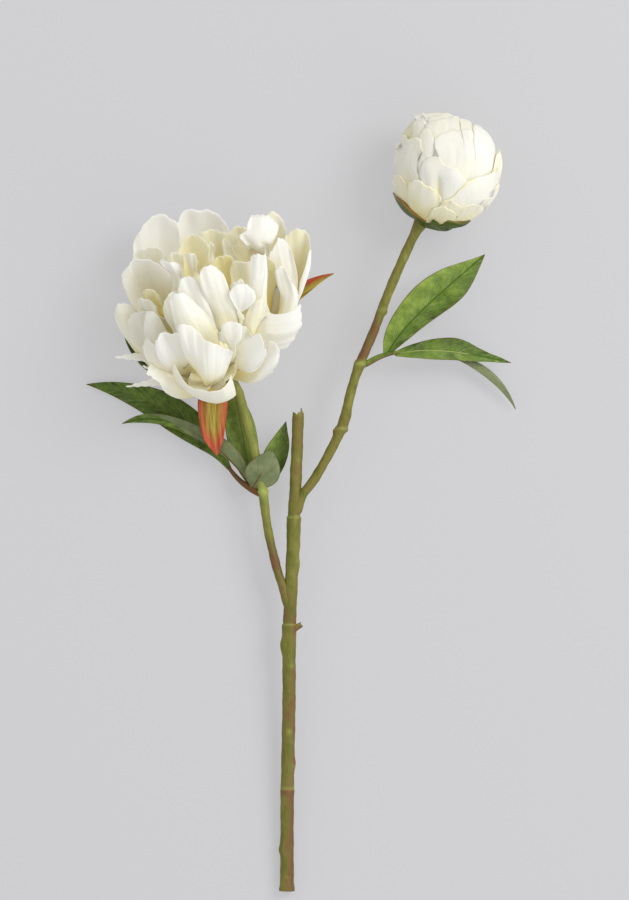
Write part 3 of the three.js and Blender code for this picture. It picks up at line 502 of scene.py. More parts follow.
     [(208, 360.5, 50.5), (197, 327, 72)], (2, 3, 1), dict(cream_and_shade=0.2)),
    ([(197, 360.5, 61.5), (190, 316, 81), (182, 299.5, 90.5)],
     [(179.5, 291.5, 94), (181, 284.5, 96), (185, 279.5, 97.5), (192.5, 278, 97.5), (198.5, 281.5, 96)],
     [(226, 355, 59), (218.5, 330.5, 74.5), (212.5, 311.5, 86), (204.5, 294, 92.5)], (1, 3, 2),
     dict(cream_and_shade=-0.06, flare=1.4)),
    ([(186, 371.5, 63.5), (179, 338.5, 83.5), (174, 317, 95)],
     [(172, 304, 101), (173.5, 296.5, 103.5), (179, 294, 104.5), (186, 295, 103.5), (192.5, 300.5, 101)],
     [(231.5, 360.5, 55), (226, 346, 65.5), (218, 330.5, 81), (207, 315, 94)], (2, 4, 2),
     dict(cream_and_shade=0.16, pleat=1.3)),
    ([(214.5, 355, 63.5), (214, 318.5, 79), (204, 295, 95)],
     [(200.5, 283, 101), (200.5, 274, 103.5), (204, 268.5, 104.5), (210, 266.5, 104.5), (217.5, 270, 103.5),
      (224.5, 276.5, 101)], [(244.5, 349.5, 55), (244, 329.5, 68), (236, 308.5, 86), (230, 289.5, 97.5)], (3, 6, 5),
     dict(cream_and_shade=0.08)),
    ([(228, 349.5, 61.5), (226, 317, 79)],
     [(223, 312, 83.5), (228, 309.5, 86), (236, 311, 86), (242, 317, 83.5), (243, 323, 81)],
     [(241.5, 344, 61.5), (238, 325, 74.5)], (-1, -2, -1), dict(cream_and_shade=0.2, ruffle=0.3)),
    ([(236, 310.5, 72), (233.5, 296, 83.5)],
     [(231, 288, 90.5), (232.5, 284.5, 92.5), (237, 283, 94), (241.5, 279.5, 95), (245, 284, 92.5)],
     [(250, 305, 72), (248, 294, 83.5)], (1, 1, 1), dict(cream_and_shade=0.05, ruffle=0.6)),
    ([(236, 338.5, 63.5), (239, 316, 81), (236, 308.5, 90.5), (231.5, 300.5, 97.5)],
     [(230.5, 295.5, 99.5), (232, 291, 101), (236, 288, 102), (242.5, 286.5, 102), (249, 287.5, 101),
      (255, 292.5, 97.5)], [(248, 338.5, 61.5), (243, 314.5, 79), (248.5, 309, 88), (256, 301.5, 94)], (1, 2, 1),
     dict(cream_and_shade=0, flare=0.4, ruffle=0.3)),
    ([(186, 387, 34), (158, 376, 50.5), (147, 360.5, 63.5)],
     [(144, 349.5, 70), (146, 341, 74.5), (151, 338, 76.5), (156, 341, 78), (163.5, 346, 76.5), (171, 354, 74.5)],
     [(206, 369.5, 38), (186, 363, 61.5)], (3, 5, 2), dict(cream_and_shade=0.28)),
    ([(188, 378.5, 40), (168.5, 369.5, 63.5), (159, 357, 79)],
     [(156.5, 345.5, 86), (160, 336, 90.5), (166.5, 331, 92.5), (174.5, 331.5, 94), (184.5, 335, 94),
      (193.5, 345, 91.5)], [(214.5, 366, 40), (206, 360.5, 65.5)], (3, 5, 2), dict(cream_and_shade=0.03)),
    ([(228, 363, 61.5), (231.5, 348.5, 76.5), (227.5, 342, 86), (223.5, 335, 92.5)],
     [(222, 329, 96), (225, 325, 98.5), (232.5, 323, 99.5), (241, 324, 98.5), (243, 328.5, 96)],
     [(239, 363, 59), (236, 348, 76.5), (241.5, 341.5, 86), (243, 334.5, 92.5)], (1, 2, 1),
     dict(cream_and_shade=-0.08, flare=0.4, ruffle=0.3)),
    ([(228, 365, 36), (252.5, 369.5, 55), (266.5, 354.5, 70)],
     [(269, 342, 75.5), (274.5, 342, 78), (279.5, 347, 78), (281.5, 355, 75.5), (279, 364, 71), (272.5, 372, 64.5)],
     [(228, 374, 30), (233.5, 379.5, 36), (252.5, 383, 46.5), (263.5, 379, 57)], (4, 6, 3), dict(cream_and_shade=0.06)),
    ([(226, 358.5, 50.5), (234.5, 351.5, 68), (246, 341, 83.5)],
     [(253.5, 336, 89), (260.5, 332.5, 92.5), (264.5, 338.5, 92.5), (267, 348.5, 89), (266.5, 357, 83.5),
      (262, 365, 76.5)], [(228, 365, 44.5), (241.5, 369.5, 57), (253.5, 372, 68)], (3, 5, 3),
     dict(cream_and_shade=0, pleat=1.8)),
    ([(206, 381.5, 50.5), (194.5, 369.5, 74.5), (186, 357, 90.5), (181, 341.5, 101)],
     [(179.5, 330.5, 105.5), (182, 326, 108), (188, 324.5, 108), (196, 328.5, 107), (206, 336, 104.5),
      (219, 342, 102), (228, 348.5, 99.5), (234, 353.5, 96)],
     [(214.5, 383, 48.5), (223.5, 378.5, 68), (230, 366, 83.5)], (5, 8, 5), dict(cream_and_shade=0.08, pleat=3)),
    ([(196, 366, 46.5), (189.5, 378.5, 61.5)],
     [(189, 381.5, 65.5), (192.5, 387, 70), (200, 390.5, 72), (208, 389, 72), (212.5, 384, 70)],
     [(219, 371.5, 46.5), (214.5, 380.5, 61.5)], (3, 4, 3), dict(cream_and_shade=0.3)),
    ([(199, 387, 34), (179, 383, 50.5), (173.5, 371.5, 65.5)],
     [(174.5, 363.5, 74.5), (182, 375, 79), (190, 385, 82.5), (200, 391, 83.5), (211.5, 391.5, 83.5),
      (221.5, 386.5, 82.5), (228.5, 378.5, 80), (231.5, 374, 78)],
     [(228, 387, 34), (234.5, 393, 50.5), (236, 390, 63.5)], (3, 4, 2), dict(cream_and_shade=0.24, flare=0.3)),
    ([(203.5, 394, 31), (186, 399, 42), (174.5, 397, 52.5)],
     [(166, 393, 59), (158, 385, 63.5), (152.5, 378.5, 65.5), (147, 375, 68)],
     [(208, 355, 31), (174.5, 354, 50.5), (154.5, 361.5, 61.5)], (2, 4, 2), dict(cream_and_shade=0.25)),
]

print(len(BLOOM_PETALS), "petals in the bloom")


# %% Edges of a petal
def at_picture(point):
    """Millimetres from the cut foot of (picture x, picture y, height over the table)."""
    x, y, z = point
    return np.array([(x - FOOT_X) * POINT, (FOOT_Y - y) * POINT, z], float)


def even(points, share):
    """A smooth line through points, read at shares of its own length."""
    t = np.linspace(0, 1, 240)
    line = through(points, t)
    length = np.concatenate([[0], np.cumsum(np.linalg.norm(np.diff(line, axis=0), axis=1))])
    return through(points, np.interp(share, length / length[-1], t))


def patch(left, lip, right, u, v):
    """Grid between two side edges L(u), R(u) and a lip T(w), with u from root to lip and w = (v + 1) / 2 across:
    (1 - w) L + w R + u to the power 1.6 times (T minus the straight line between its ends)."""
    w = (v[..., None] + 1) / 2
    one, two, top = even(left, u), even(right, u), even(lip, w[..., 0])
    wide = np.linalg.norm(two - one, axis=-1)
    wide = np.maximum(wide, 0.8 * u * np.linalg.norm(np.diff(top, axis=1), axis=-1).sum())
    return one * (1 - w) + two * w + (u**1.6)[..., None] * (top - lip[0] * (1 - w) - lip[-1] * w), wide


# %% How cloth stands off its form
# waves in rows: height in millimetres, swing across and along the petal, and share of its phase
SLOW_WAVES = [(0.8, 2.4, 3, 1), (0.4, 5, -4, 2)]
EDGE_WAVES = [(1.5, 3.1, 0, 1.3), (0.7, 7, 4, 1.7), (0.3, 13, -6, 1)]


def wave_sum(rows, u, v, phase):
    """Sum over the rows of height times the sine of across times v, along times u and share times phase added."""
    return sum(height * np.sin(across * v + along * u + share * phase) for height, across, along, share in rows)


def own_phase(number, start=0.0):
    """Where a petal's waves begin, in radians. The next petal's begin 2.4 further on, so no two look alike."""
    return (number * 2.4 + start) % 6.28


def fullness(wide):
    """How strongly cloth of this width waves: its width over 26 mm, kept between 0.25 and 1.3."""
    return np.clip(wide / 26, 0.25, 1.3)


def uneven(u, v, wide, phase, ruffle=0.6, pleat=1.0, lump=1.0):
    """How far cloth stands off its smooth form, in millimetres: a slow wave over the sheet, ruffles that grow to
    the free edges, and fine pleats along it. All grow with the petal's width."""
    slow = wave_sum(SLOW_WAVES, u, v, phase)
    edge = np.maximum(smooth((u - 0.66) / 0.34), 0.8 * smooth((np.abs(v) - 0.55) / 0.45))
    wave = wave_sum(EDGE_WAVES, u, v, phase)
    bent = v + 0.12 * np.sin(3 * u + phase)
    fine = 0.07 * np.sin(15 * bent + 2 * phase) * np.sin(4 * bent + phase) + 0.03 * np.sin(37 * bent + phase)
    return fullness(wide) * smooth(u / 0.6) * (lump * slow + ruffle * edge * wave + pleat * fine)


def nibbled(u, v, wide, phase):
    """How far the lip runs out or in, in millimetres, so that its outline is a little uneven."""
    coarse = 0.7 * np.sin(7 * v + phase) * np.sin(3 * v - phase) + 0.35 * np.sin(19 * v + 2 * phase)
    fine = 0.25 * np.sin(29 * v + phase) * np.sin(5 * v - 2 * phase)
    return fullness(wide) * smooth((u - 0.8) / 0.2) * (coarse + fine)


# %% One petal of the bloom
def drawn_petal(row, number, rows=60, cols=44):
    """Grid of a petal of the bloom: its patch, plus n times (bulge (1 - v v) + uneven + roll), with n square to
    the sheet. The roll bends the free edges outwards."""
    left, lip, right, bulge, more = row
    left, lip, right = (np.array([at_picture(p) for p in line]) for line in (left, lip, right))
    low = (left[0] + right[0]) / 2
    aside = unit(right[0] - left[0])
    root = BLOOM[0] + 6 * unit(low - BLOOM[0])
    left = np.array([root - aside * 3.5, *left, lip[0]])
    right = np.array([root + aside * 3.5, *right, lip[-1]])
    phase = own_phase(number)
    u, v = shares(rows, cols)
    points, wide = patch(left, lip, right, u, v)
    along = np.gradient(points, axis=0)
    facing = unit(np.cross(np.gradient(points, axis=1), along))
    facing = unit(facing.mean(axis=1, keepdims=True) + 0.5 * facing)
    free = smooth(u / 0.6)
    fold_at, fold = more.get("fold", (0, 0))
    lift = through([0, *bulge], u) * (1 - v * v) * (1 - 0.6 * u**6) - fold * (np.abs(v - fold_at) - 0.5) * free
    lift = lift + uneven(u, v, wide, phase, more.get("ruffle", 0.62), more.get("pleat", 1))
    side = 0.55 * np.clip((np.abs(v) - 0.75) / 0.25, 0, 1) * free
    rolled = np.maximum(np.clip((u - 0.8) / 0.2, 0, 1), side)
    flare = more.get("flare", 1.1) * fullness(wide) * (1 if bulge[1] > 0 else -1)
    lift = lift + flare * rolled**2 * (1 + 0.6 * np.sin(2.3 * v + phase))
    points = points + facing * lift[..., None] + unit(along) * nibbled(u, v, wide, phase)[..., None]
    step = np.linalg.norm(np.diff(points[:, cols // 2], axis=0), axis=-1)
    length = np.concatenate([[0], np.cumsum(step)])[:, None]
    return points, np.broadcast_to(u, lift.shape), np.stack([wide / 2 * v, length + 0 * v], -1)


# %% Bloom
def bloom_group(name, first, last):
    """One piece of the bloom from its rows first to last. Tint is deepest at the root, partly the dye gathered there
    and partly painted shade in the depth of the flower.
    """
    grids, along, size = stacked(drawn_petal(BLOOM_PETALS[k], k) for k in range(first, last))
    own = np.array([row[-1]["cream_and_shade"] for row in BLOOM_PETALS[first:last]])[:, None, None]
    # painted shade: the yellow deepens near the root and on petals that lie in shade
    cream_and_shade = np.clip(own * (1.3 - 0.6 * along) + 0.62 * (1 - smooth((along - 0.25) / 0.6)), 0, 1)
    sheets(name, grids, PETAL_THICK, {"cream_and_shade": cream_and_shade}, size, BLOOM_CLOTH, "bloom_petals")


third = len(BLOOM_PETALS) // 3
bloom_group("bloom_outer_petals", 0, third)
bloom_group("bloom_middle_petals", third, 2 * third)
bloom_group("bloom_front_petals", 2 * third, len(BLOOM_PETALS))

# %% [markdown]
# ## Heart of the bloom
# Under the small inner petals lie their crowded bases. Forty more petals would be hidden there, so one closed
# knob with lengthwise folds stands for them, and no gap shows through the flower. At the lower left, torn petals
# end in narrow strips, which are blades along a curve.


# %% Heart
def turned(flower, profile, folds, sides=96, rings=60):
    """Points and faces of a closed body round the flower's axis: radius and height follow a smooth line through
    the profile, and the radius swells by folds times a sine round the axis."""
    u = np.linspace(0, 1, rings)
    radius, height = through(profile, u).T
    turn = np.linspace(0, 2 * np.pi, sides, endpoint=False)
    fine = 0.6 * np.sin(23 * turn[None] - 7 * u[:, None])
    swell = 1 + folds * (np.sin(11 * turn[None] + 5 * u[:, None]) + fine)
    r = np.maximum(radius, 0.01)[:, None] * swell
    ring = np.stack([r * np.cos(turn), r * np.sin(turn), np.broadcast_to(height[:, None], r.shape)], -1)
    points = np.concatenate([ring.reshape(-1, 3), [[0, 0, height[0]], [0, 0, height[-1]]]])
    return placed(flower, points), tube_faces(rings, sides)


def knob(name, flower, profile, folds, cream_and_shade, material, slot):
    """A turned body of petal cloth as a piece."""
    points, faces = turned(flower, profile, folds)
    marks = {"cream_and_shade": np.full(len(points), cream_and_shade), "under": np.zeros(len(points))}
    new_piece(name, points, faces, marks, points[:, :2], material, slot)


heart_profile = [[2, 2], [14, 5], [20, 13], [23, 27], [20, 41], [13, 50], [2, 55]]
knob("bloom_heart", BLOOM, heart_profile, folds=0.05, cream_and_shade=0.35, material=BLOOM_CLOTH, slot="bloom_petals")

# %% Frayed ends of torn petals
FRAYED_THICK = 0.6  # millimetres, for the twisted threads
FRAYED = [
    ([(-62, 382, 29), (-84, 383, 32), (-104, 387, 35), (-124.5, 385.5, 36)],
     (3, 4, 4, 3.6, 3, 2, 0.3), (3, 4, 4, 3.8, 3.4, 2.4, 0.3)),
    ([(-62, 372, 29), (-86, 371, 32), (-104, 366.5, 34), (-116.5, 364.5, 33)],
     (3, 4.5, 4.2, 3.6, 2.8, 1.6, 0.2), (3, 4, 3.8, 3.4, 2.6, 1.4, 0.2)),
    ([(-62, 374, 31), (-80, 370, 35), (-94, 375, 38), (-104.5, 379.5, 38)],
     (3, 4, 3.8, 3, 2, 0.3), (3, 4, 3.6, 3, 2, 0.3)),
]


def blade(ends, left, right, roll=(0, 0), fold=12, wave=1.0, waves=2.3, phase=0.0, rows=80, cols=33, rough=0.0):
    """Grid of one leaflet or sepal. Place on the rib, plus across times the half width at that share, plus up
    times the distance from the rib times tan(fold) and a ripple that grows to the edge. roll turns across and up
    about the rib."""
    u, v = shares(rows, cols)
    rib, way, length = bezier(ends, u[:, 0])
    level = unit(np.cross([0, 0, 1.0], way))
    face = np.cross(way, level)
    turn = np.radians(roll[0] + (roll[1] - roll[0]) * u)
    across = level * np.cos(turn) + face * np.sin(turn)
    up = face * np.cos(turn) - level * np.sin(turn)
    half = np.where(v > 0, through(left, u), through(right, u))
    half = np.maximum(half + rough * np.sin(60 * u + 7 * np.sign(v)), 0.25)
    reach = half * v
    ripple = wave * np.abs(v) ** 1.5 * np.sin(2 * np.pi * waves * u + phase + np.where(v > 0, 1.7, 0))
    rise = np.abs(reach) * math.tan(math.radians(fold)) + ripple * np.sin(np.pi * u)
    grid = rib[:, None] + across[:, None] * reach[..., None] + up[:, None] * rise[..., None]
    return grid, np.stack([reach, np.broadcast_to(u * length, reach.shape)], -1)


grids, size = stacked(blade(*row, fold=8, wave=0.8, rows=44, cols=13, rough=0.35) for row in FRAYED)
cream_and_shade = np.full(grids.shape[:3], 0.1)
sheets("bloom_frayed_ends", grids, FRAYED_THICK, {"cream_and_shade": cream_and_shade}, size, BLOOM_CLOTH, "bloom_petals")

# %% [markdown]
# ## Bud
# The bud is a ball of petals wrapped over each other. Flat petals bent by a cloth simulation would take minutes
# and end anywhere, so each petal is laid on a common egg-shaped form at a stand-off of its own, lowest layer
# first, and none can cut its neighbour. The ones seen from above are drawn by their edges as in the bloom. The
# ones below are worked out from two angles, one round the axis and one down from the top.

# %% Rows of the bud
# rim is painted shade along a petal's free edges, and tint adds painted shade to the cloth's cream
BUD_ROWS = [
    ([(420, 175), (410, 146.5)], [(401.5, 138), (404.5, 127.5), (410, 120.5), (414, 116.5), (416, 120)],
     [(443.5, 158.5), (423.5, 135)], 0.6, dict(cream_and_shade=0.2, lift=0.8, rim=0.2)),
    ([(426.5, 158.5), (421, 131.5)],
     [(421, 120), (425, 114), (431.5, 110), (438.5, 109), (443.5, 112), (446, 116)], [(451.5, 158.5), (448.5, 130)],
     0.9, dict(cream_and_shade=0, lift=1.5)),
    ([(431.5, 158.5), (426.5, 131.5)],
     [(427, 122), (430, 118.5), (438.5, 116), (450, 113.5), (454, 116), (455, 119.5)],
     [(456.5, 158.5), (456, 131.5)], 1.5, dict(cream_and_shade=0, lift=1.2)),
    ([(443.5, 158.5), (451.5, 135)],
     [(456, 122), (460, 119.5), (465, 118.5), (469.5, 121), (472, 126), (472, 130)],
     [(473.5, 166.5), (472.5, 143.5)], 1.3, dict(cream_and_shade=0.06, lift=1.3)),
    ([(428.5, 166.5), (426.5, 143.5)],
     [(424, 127.5), (431.5, 123), (443.5, 120), (456, 117), (459, 121), (459, 127.5)], [(465, 166.5), (460, 140)],
     2.1, dict(cream_and_shade=0.02, lift=1.0)),
    ([(424, 135), (417.5, 123)],
     [(416.5, 118), (416.5, 114), (419, 112), (422, 112), (424.5, 114.5), (425.5, 117.5)],
     [(433, 135), (426.5, 123)], 1.8, dict(cream_and_shade=-0.1, lift=2.0, rough=0, sharp=14)),
    ([(412.5, 183.5), (410, 158.5)],
     [(411.5, 140), (412.5, 128.5), (416.5, 121.5), (421.5, 122), (426.5, 127.5), (431, 133.5)],
     [(443.5, 175), (436.5, 151.5)], 2.3, dict(cream_and_shade=0)),
    ([(416.5, 183.5), (416, 158.5)], [(417, 143.5), (420, 136), (425, 129.5), (430, 132.5), (432.5, 139)],
     [(443.5, 175), (436.5, 153.5)], 2.7, dict(cream_and_shade=-0.05)),
    ([(412.5, 175), (401.5, 160)], [(394, 150.5), (395, 144.5), (400, 144), (402, 148.5)],
     [(420, 175), (408.5, 158.5)], 2.4, dict(cream_and_shade=0.02, lift=0.9, rim=0.15)),
    ([(416.5, 166.5), (406.5, 153.5)], [(400.5, 144), (402.5, 136.5), (405.5, 136), (407.5, 140.5)],
     [(425, 166.5), (412.5, 151.5)], 2.1, dict(cream_and_shade=0, lift=0.8, rim=0.15)),
    ([(468.5, 200), (488.5, 193.5)], [(493.5, 190), (497.5, 184.5), (498.5, 188.5), (497, 196)],
     [(481, 212.5), (488.5, 205)], 3.3, dict(cream_and_shade=0.1, lift=1.4)),
    ([(460, 212.5), (475, 207.5)], [(481, 201), (486, 198.5), (491, 199), (489.5, 204), (485, 208.5)],
     [(468.5, 220), (478.5, 215)], 3.3, dict(cream_and_shade=0.1, lift=1.2)),
    ([(468.5, 191.5), (490, 175)], [(495, 157.5), (498, 150), (503, 148.5), (505, 163.5), (504, 172.5)],
     [(485, 204), (498.5, 189)], 2.9, dict(cream_and_shade=0.15, lift=1.8, rim=0.45)),
    ([(460, 191.5), (470, 163.5), (473, 146.5)],
     [(473.5, 136), (472, 128), (477, 125), (483.5, 127.5), (489, 132.5), (493.5, 137.5), (495.5, 146.5)],
     [(481, 200), (495, 171.5), (496, 158.5)], 2.1, dict(cream_and_shade=-0.1, lift=0.5, rim=0.2)),
    ([(431.5, 191.5), (430, 166.5), (431.5, 151.5)],
     [(434, 141.5), (439, 136), (448.5, 132.5), (458.5, 131.5), (467.5, 130.5), (472, 133.5), (472, 143.5)],
     [(460, 196), (473.5, 171.5), (473.5, 157.5)], 2.6, dict(cream_and_shade=-0.05, lift=0.6)),
    ([(401.5, 196), (394.5, 171), (395, 154)],
     [(399.5, 146.5), (405, 141), (412.5, 139), (419, 141.5), (421, 150), (421.5, 156.5)],
     [(426.5, 191.5), (417, 176.5), (417.5, 166.5)], 2.9, dict(cream_and_shade=-0.1, lift=0.3, rim=0.25)),
    ([(438, 220), (437, 208)], [(437, 200), (441, 196), (450, 195), (458, 199), (460, 206)],
     [(455, 220), (460, 213)], 2.45, dict(cream_and_shade=0, lift=0, low=2.2)),
    ([(420, 208.5), (418.5, 190), (418, 176.5)],
     [(421, 166.5), (426.5, 160.5), (433.5, 159), (439, 162), (443.5, 167.5), (448.5, 168.5), (455, 171.5),
      (462.5, 180), (467.5, 188.5)], [(460, 208.5), (465, 198.5)], 3.1, dict(cream_and_shade=-0.06, lift=0.1, rim=0.04)),
    ([(403.5, 204), (393.5, 196)], [(391.5, 183.5), (393.5, 178.5), (398.5, 177), (404, 182.5), (407, 190)],
     [(420, 212.5), (408.5, 201.5)], 3.2, dict(cream_and_shade=0.12)),
    ([(416.5, 216.5), (409, 207.5), (406, 196)],
     [(407, 187.5), (411, 183.5), (416.5, 182), (425, 187.5), (433.5, 193.5), (439.5, 200), (441, 205)],
     [(435, 220), (439.5, 214)], 3.6, dict(cream_and_shade=0.05, lift=0.3, rim=0.2)),
    ([(438.5, 220), (438.5, 211.5)],
     [(439, 206), (448.5, 202), (456.5, 194.5), (465, 184.5), (473.5, 180), (483.5, 178.5), (492.5, 173),
      (497.5, 169)], [(460, 220), (481, 208.5), (495, 193.5), (499, 181.5)], 3.6,
     dict(cream_and_shade=-0.02, lift=0.8, rim=0.55)),
    ([(436.5, 220), (436.5, 212.5)], [(438.5, 206), (448.5, 204), (457.5, 207), (461, 212.5), (459, 216)],
     [(448.5, 221.5), (456, 218.5)], 4, dict(cream_and_shade=0.08, rim=0.45)),
    ([(450, 223.5), (456, 218.5)], [(458.5, 210), (465, 207.5), (473.5, 206.5), (481, 207.5), (481.5, 212)],
     [(460, 224), (472.5, 220)], 3.9, dict(cream_and_shade=0.08)),
    ([(425, 222.5), (428.5, 216.5)],
     [(431, 211.5), (436.5, 209), (443.5, 209.5), (450, 212.5), (454.5, 216.5), (455, 221)],
     [(443.5, 225), (451.5, 223.5)], 4.3, dict(cream_and_shade=0.08)),
]
print(len(BUD_ROWS), "petals of the bud are seen from above")

# %% Form of the bud
OUTLINE_OFF = 3  # millimetres, the stand-off of the petals that BUD_OUTLINE is for
OFF_ON_TOP, OFF_BELOW = 6.5, 5.0
BUD_OUTLINE = [6.5, 6, 4.6, 4.6, 3, 0.6, 0, 2.8, 7, 9.2, 9, 7.2, 7, 7, 7.6, 7.8, 7.4, 6, 6, 7, 7.6, 6.8, 7.1, 7.5]
LUMPS = [
    (429, 169, 1.9, 8, 9), (451, 178, 1.8, 8, 8), (438.5, 186, -2.6, 2.8, 9), (464, 156, 0.8, 9, 9),
    (454, 157, -0.7, 2.2, 6), (420, 201, 1.0, 10, 8), (408, 165, 1.0, 8, 12), (425, 134, 1.0, 5, 6),
    (418, 142, -0.8, 3, 8), (413, 176, -0.9, 3, 7), (484, 152, 0.8, 8, 12), (474, 194, 1.0, 11, 8),
    (441, 217, 0.8, 8, 4), (436, 122, -0.6, 12, 2), (445, 128, 0.6, 10, 3),
]


def bud_form(turn_to):
    """Stand-off of the outer layer from the egg for a direction in flower coordinates. BUD_OUTLINE gives it every
    15 degrees round the picture, blended by bells, and it fades to its value on top and to the one below."""
    angle = np.degrees(np.arctan2(turn_to[..., 2] * BUD_HALF_HEIGHT, turn_to[..., 0] * BUD_RADIUS))
    share = bell(apart(angle[..., None], 15 * np.arange(len(BUD_OUTLINE))), 0, 13)
    seen = (share * BUD_OUTLINE).sum(-1) / share.sum(-1)
    unseen = np.where(turn_to[..., 1] < 0, OFF_ON_TOP, OFF_BELOW)
    return unseen + (seen - unseen) * (1 - turn_to[..., 1] ** 2)


def on_egg(point, off):
    """The place on the bud's form, moved out by off, that is seen at a point of the picture. With p running
    straight down through the point, (right, back and up parts of p over their half widths) squared sum to 1. The
    higher answer is taken, or the nearest pass where there is none. The form is read again four times."""
    start = at_picture((*point, 0)) - BUD[0]
    away = 6.0
    for _ in range(4):
        half = BUD_HALVES + away + off - OUTLINE_OFF
        base, down = BUD[1] @ start / half, BUD[1] @ np.array([0, 0, 1.0]) / half
        a, b, c = down @ down, 2 * base @ down, base @ base - 1
        place = start + np.array([0, 0, (-b + math.sqrt(max(b * b - 4 * a * c, 0))) / (2 * a)])
        away = bud_form(unit(BUD[1] @ place / BUD_HALVES))
    return BUD[0] + place


def lumps(points):
    """Swellings and dents that all layers of the bud share: each of LUMPS is a place in the picture, a height in
    millimetres and two spreads, and adds the height times a bell of the distance across and one up."""
    x, y = points[..., 0] / POINT + FOOT_X, FOOT_Y - points[..., 1] / POINT
    return sum(height * bell(x, at_x, wide) * bell(y, at_y, tall) for at_x, at_y, height, wide, tall in LUMPS)


# %% One petal of the bud, drawn
def egg_petal(row, number, rows=46, cols=38):
    """Grid of a bud petal seen from above: the patch between its edges, pushed out from the egg's middle until it
    lies on the egg at its stand-off."""
    left, lip, right, off, more = row
    lift = more.get("lift", 0.25)
    left, right = (np.array([on_egg(p, off) for p in line]) for line in (left, right))
    lip = np.array([on_egg(p, off + lift) for p in lip])
    root = BUD[0] - BUD_HALF_HEIGHT * BUD[1][2]
    aside = unit(right[0] - left[0])
    left = np.array([root - 4 * aside, *left, lip[0]])
    right = np.array([root + 4 * aside, *right, lip[-1]])
    phase = own_phase(number, 1.0)
    u, v = shares(rows, cols)
    points, wide = patch(left, lip, right, u, v)
    outwards = more.get("rough", 0.9) * nibbled(u, v, wide, phase)
    points = points + unit(np.gradient(points, axis=0)) * outwards[..., None]
    turn_to = unit((points - BUD[0]) @ BUD[1].T / BUD_HALVES)
    low = more.get("low", off - 0.6)
    away = bud_form(turn_to) - OUTLINE_OFF + low + (off - low) * u
    away = away + uneven(u, v, wide, phase, ruffle=0.12, lump=0.12)
    swell = lumps(placed(BUD, turn_to * BUD_HALVES))
    away = away + swell + lift * u ** more.get("sharp", 7)
    away = away - 0.35 * np.clip((np.abs(v) - 0.8) / 0.2, 0, 1)
    points = placed(BUD, turn_to * (BUD_HALVES + away[..., None]))
    edge = np.maximum(np.abs(v) - 0.03, u)
    size = np.stack([wide / 2 * v, 60 * u + 0 * v], -1)
    # painted shade: rim puts a deeper cream along the free edges, and the sum adds more on the left, in dents and
    # near each petal's hidden root, where gaps show it; the rise towards the stalk is partly the cloth's own colour
    # and partly painted shade
    rim = more.get("rim", 0.1) * smooth((edge - 0.965) / 0.03) * (0.55 + 0.45 * np.sin(5 * v + 4 * u + phase))
    cream_and_shade = more["cream_and_shade"] + rim + 0.24 - 0.05 * turn_to[..., 0] + 0.26 * smooth((-turn_to[..., 2] - 0.35) / 0.6)
    cream_and_shade = cream_and_shade + 0.1 * np.clip(-swell, 0, 2) + 0.22 * (1 - smooth((u - 0.42) / 0.4))
    return points, np.clip(cream_and_shade, 0, 1), size


# %% One petal of the bud, wrapped
def wrapped(row, number, rows=48, cols=36, start=165, inset=0.0, pleats=1.0):
    """Grid of a petal that hugs the egg: radius plus stand-off times sine of the polar angle outwards, and half
    height plus stand-off times its cosine along the axis."""
    phase = own_phase(number)
    s, v = shares(rows, cols)
    u = s * (1 - row.get("narrow", 0.3) * np.abs(v) ** row.get("point", 2.6) + 0.012 * np.sin(9 * v + phase))
    polar = np.radians(start + (row["top"] - start) * u)
    broad = 0.5 + 0.5 * np.sin(np.clip(1.4 * u, 0, 1) * np.pi / 2)
    turn = np.radians(row["around"] + row["half"] * v * broad)
    lip = smooth((np.maximum(s, np.abs(v)) - 0.78) / 0.22)
    fine = 0.3 * np.sin(13 * v + 5 * s + phase) + 0.14 * np.sin(29 * v + phase)
    swell = 0.9 * np.sin(2.6 * v + phase) * np.sin(np.pi * u) + pleats * fine * smooth(u / 0.4)
    turn_to = np.stack([np.sin(polar) * np.cos(turn), np.sin(polar) * np.sin(turn), np.cos(polar)], -1)
    away = bud_form(turn_to) - OUTLINE_OFF + row["off"] + 0.5 * lip + 0.3 * swell - inset
    r = (BUD_RADIUS + away) * np.sin(polar)
    h = (BUD_HALF_HEIGHT + away) * np.cos(polar)
    grid = placed(BUD, np.stack([r * np.cos(turn), r * np.sin(turn), h], -1))
    size = np.stack([np.broadcast_to(row["half"] * 0.6 * v * broad, h.shape), np.broadcast_to(60 * u, h.shape)], -1)
    return grid, np.broadcast_to(np.maximum(np.abs(v), s), h.shape), size


# %% Bud
BACK_PETALS = [
    dict(around=170, half=44, top=10, off=-1.4),
    dict(around=10, half=44, top=14, off=-1.2),
    dict(around=60, half=48, top=20, off=-0.8),
    dict(around=125, half=48, top=20, off=-0.6),
    dict(around=95, half=50, top=38, off=0.2),
    dict(around=20, half=42, top=44, off=0.6),
    dict(around=160, half=42, top=42, off=0.9),
    dict(around=60, half=46, top=64, off=1.4),
    dict(around=120, half=46, top=66, off=1.8),
]


def facing_out(made):
    """Stacks with their columns reversed: these grids run from the stalk to the lip, so the step along crossed
    with the step across would point inwards."""
    return [part[:, :, ::-1] for part in stacked(made)]


grids, cream_and_shade, size = facing_out(egg_petal(row, k) for k, row in enumerate(BUD_ROWS))
sheets("bud_front_petals", grids, BUD_PETAL_THICK, {"cream_and_shade": cream_and_shade}, size, BUD_CLOTH, "bud_petals")
grids, edge, size = facing_out(wrapped(row, k, inset=0.4) for k, row in enumerate(BACK_PETALS))
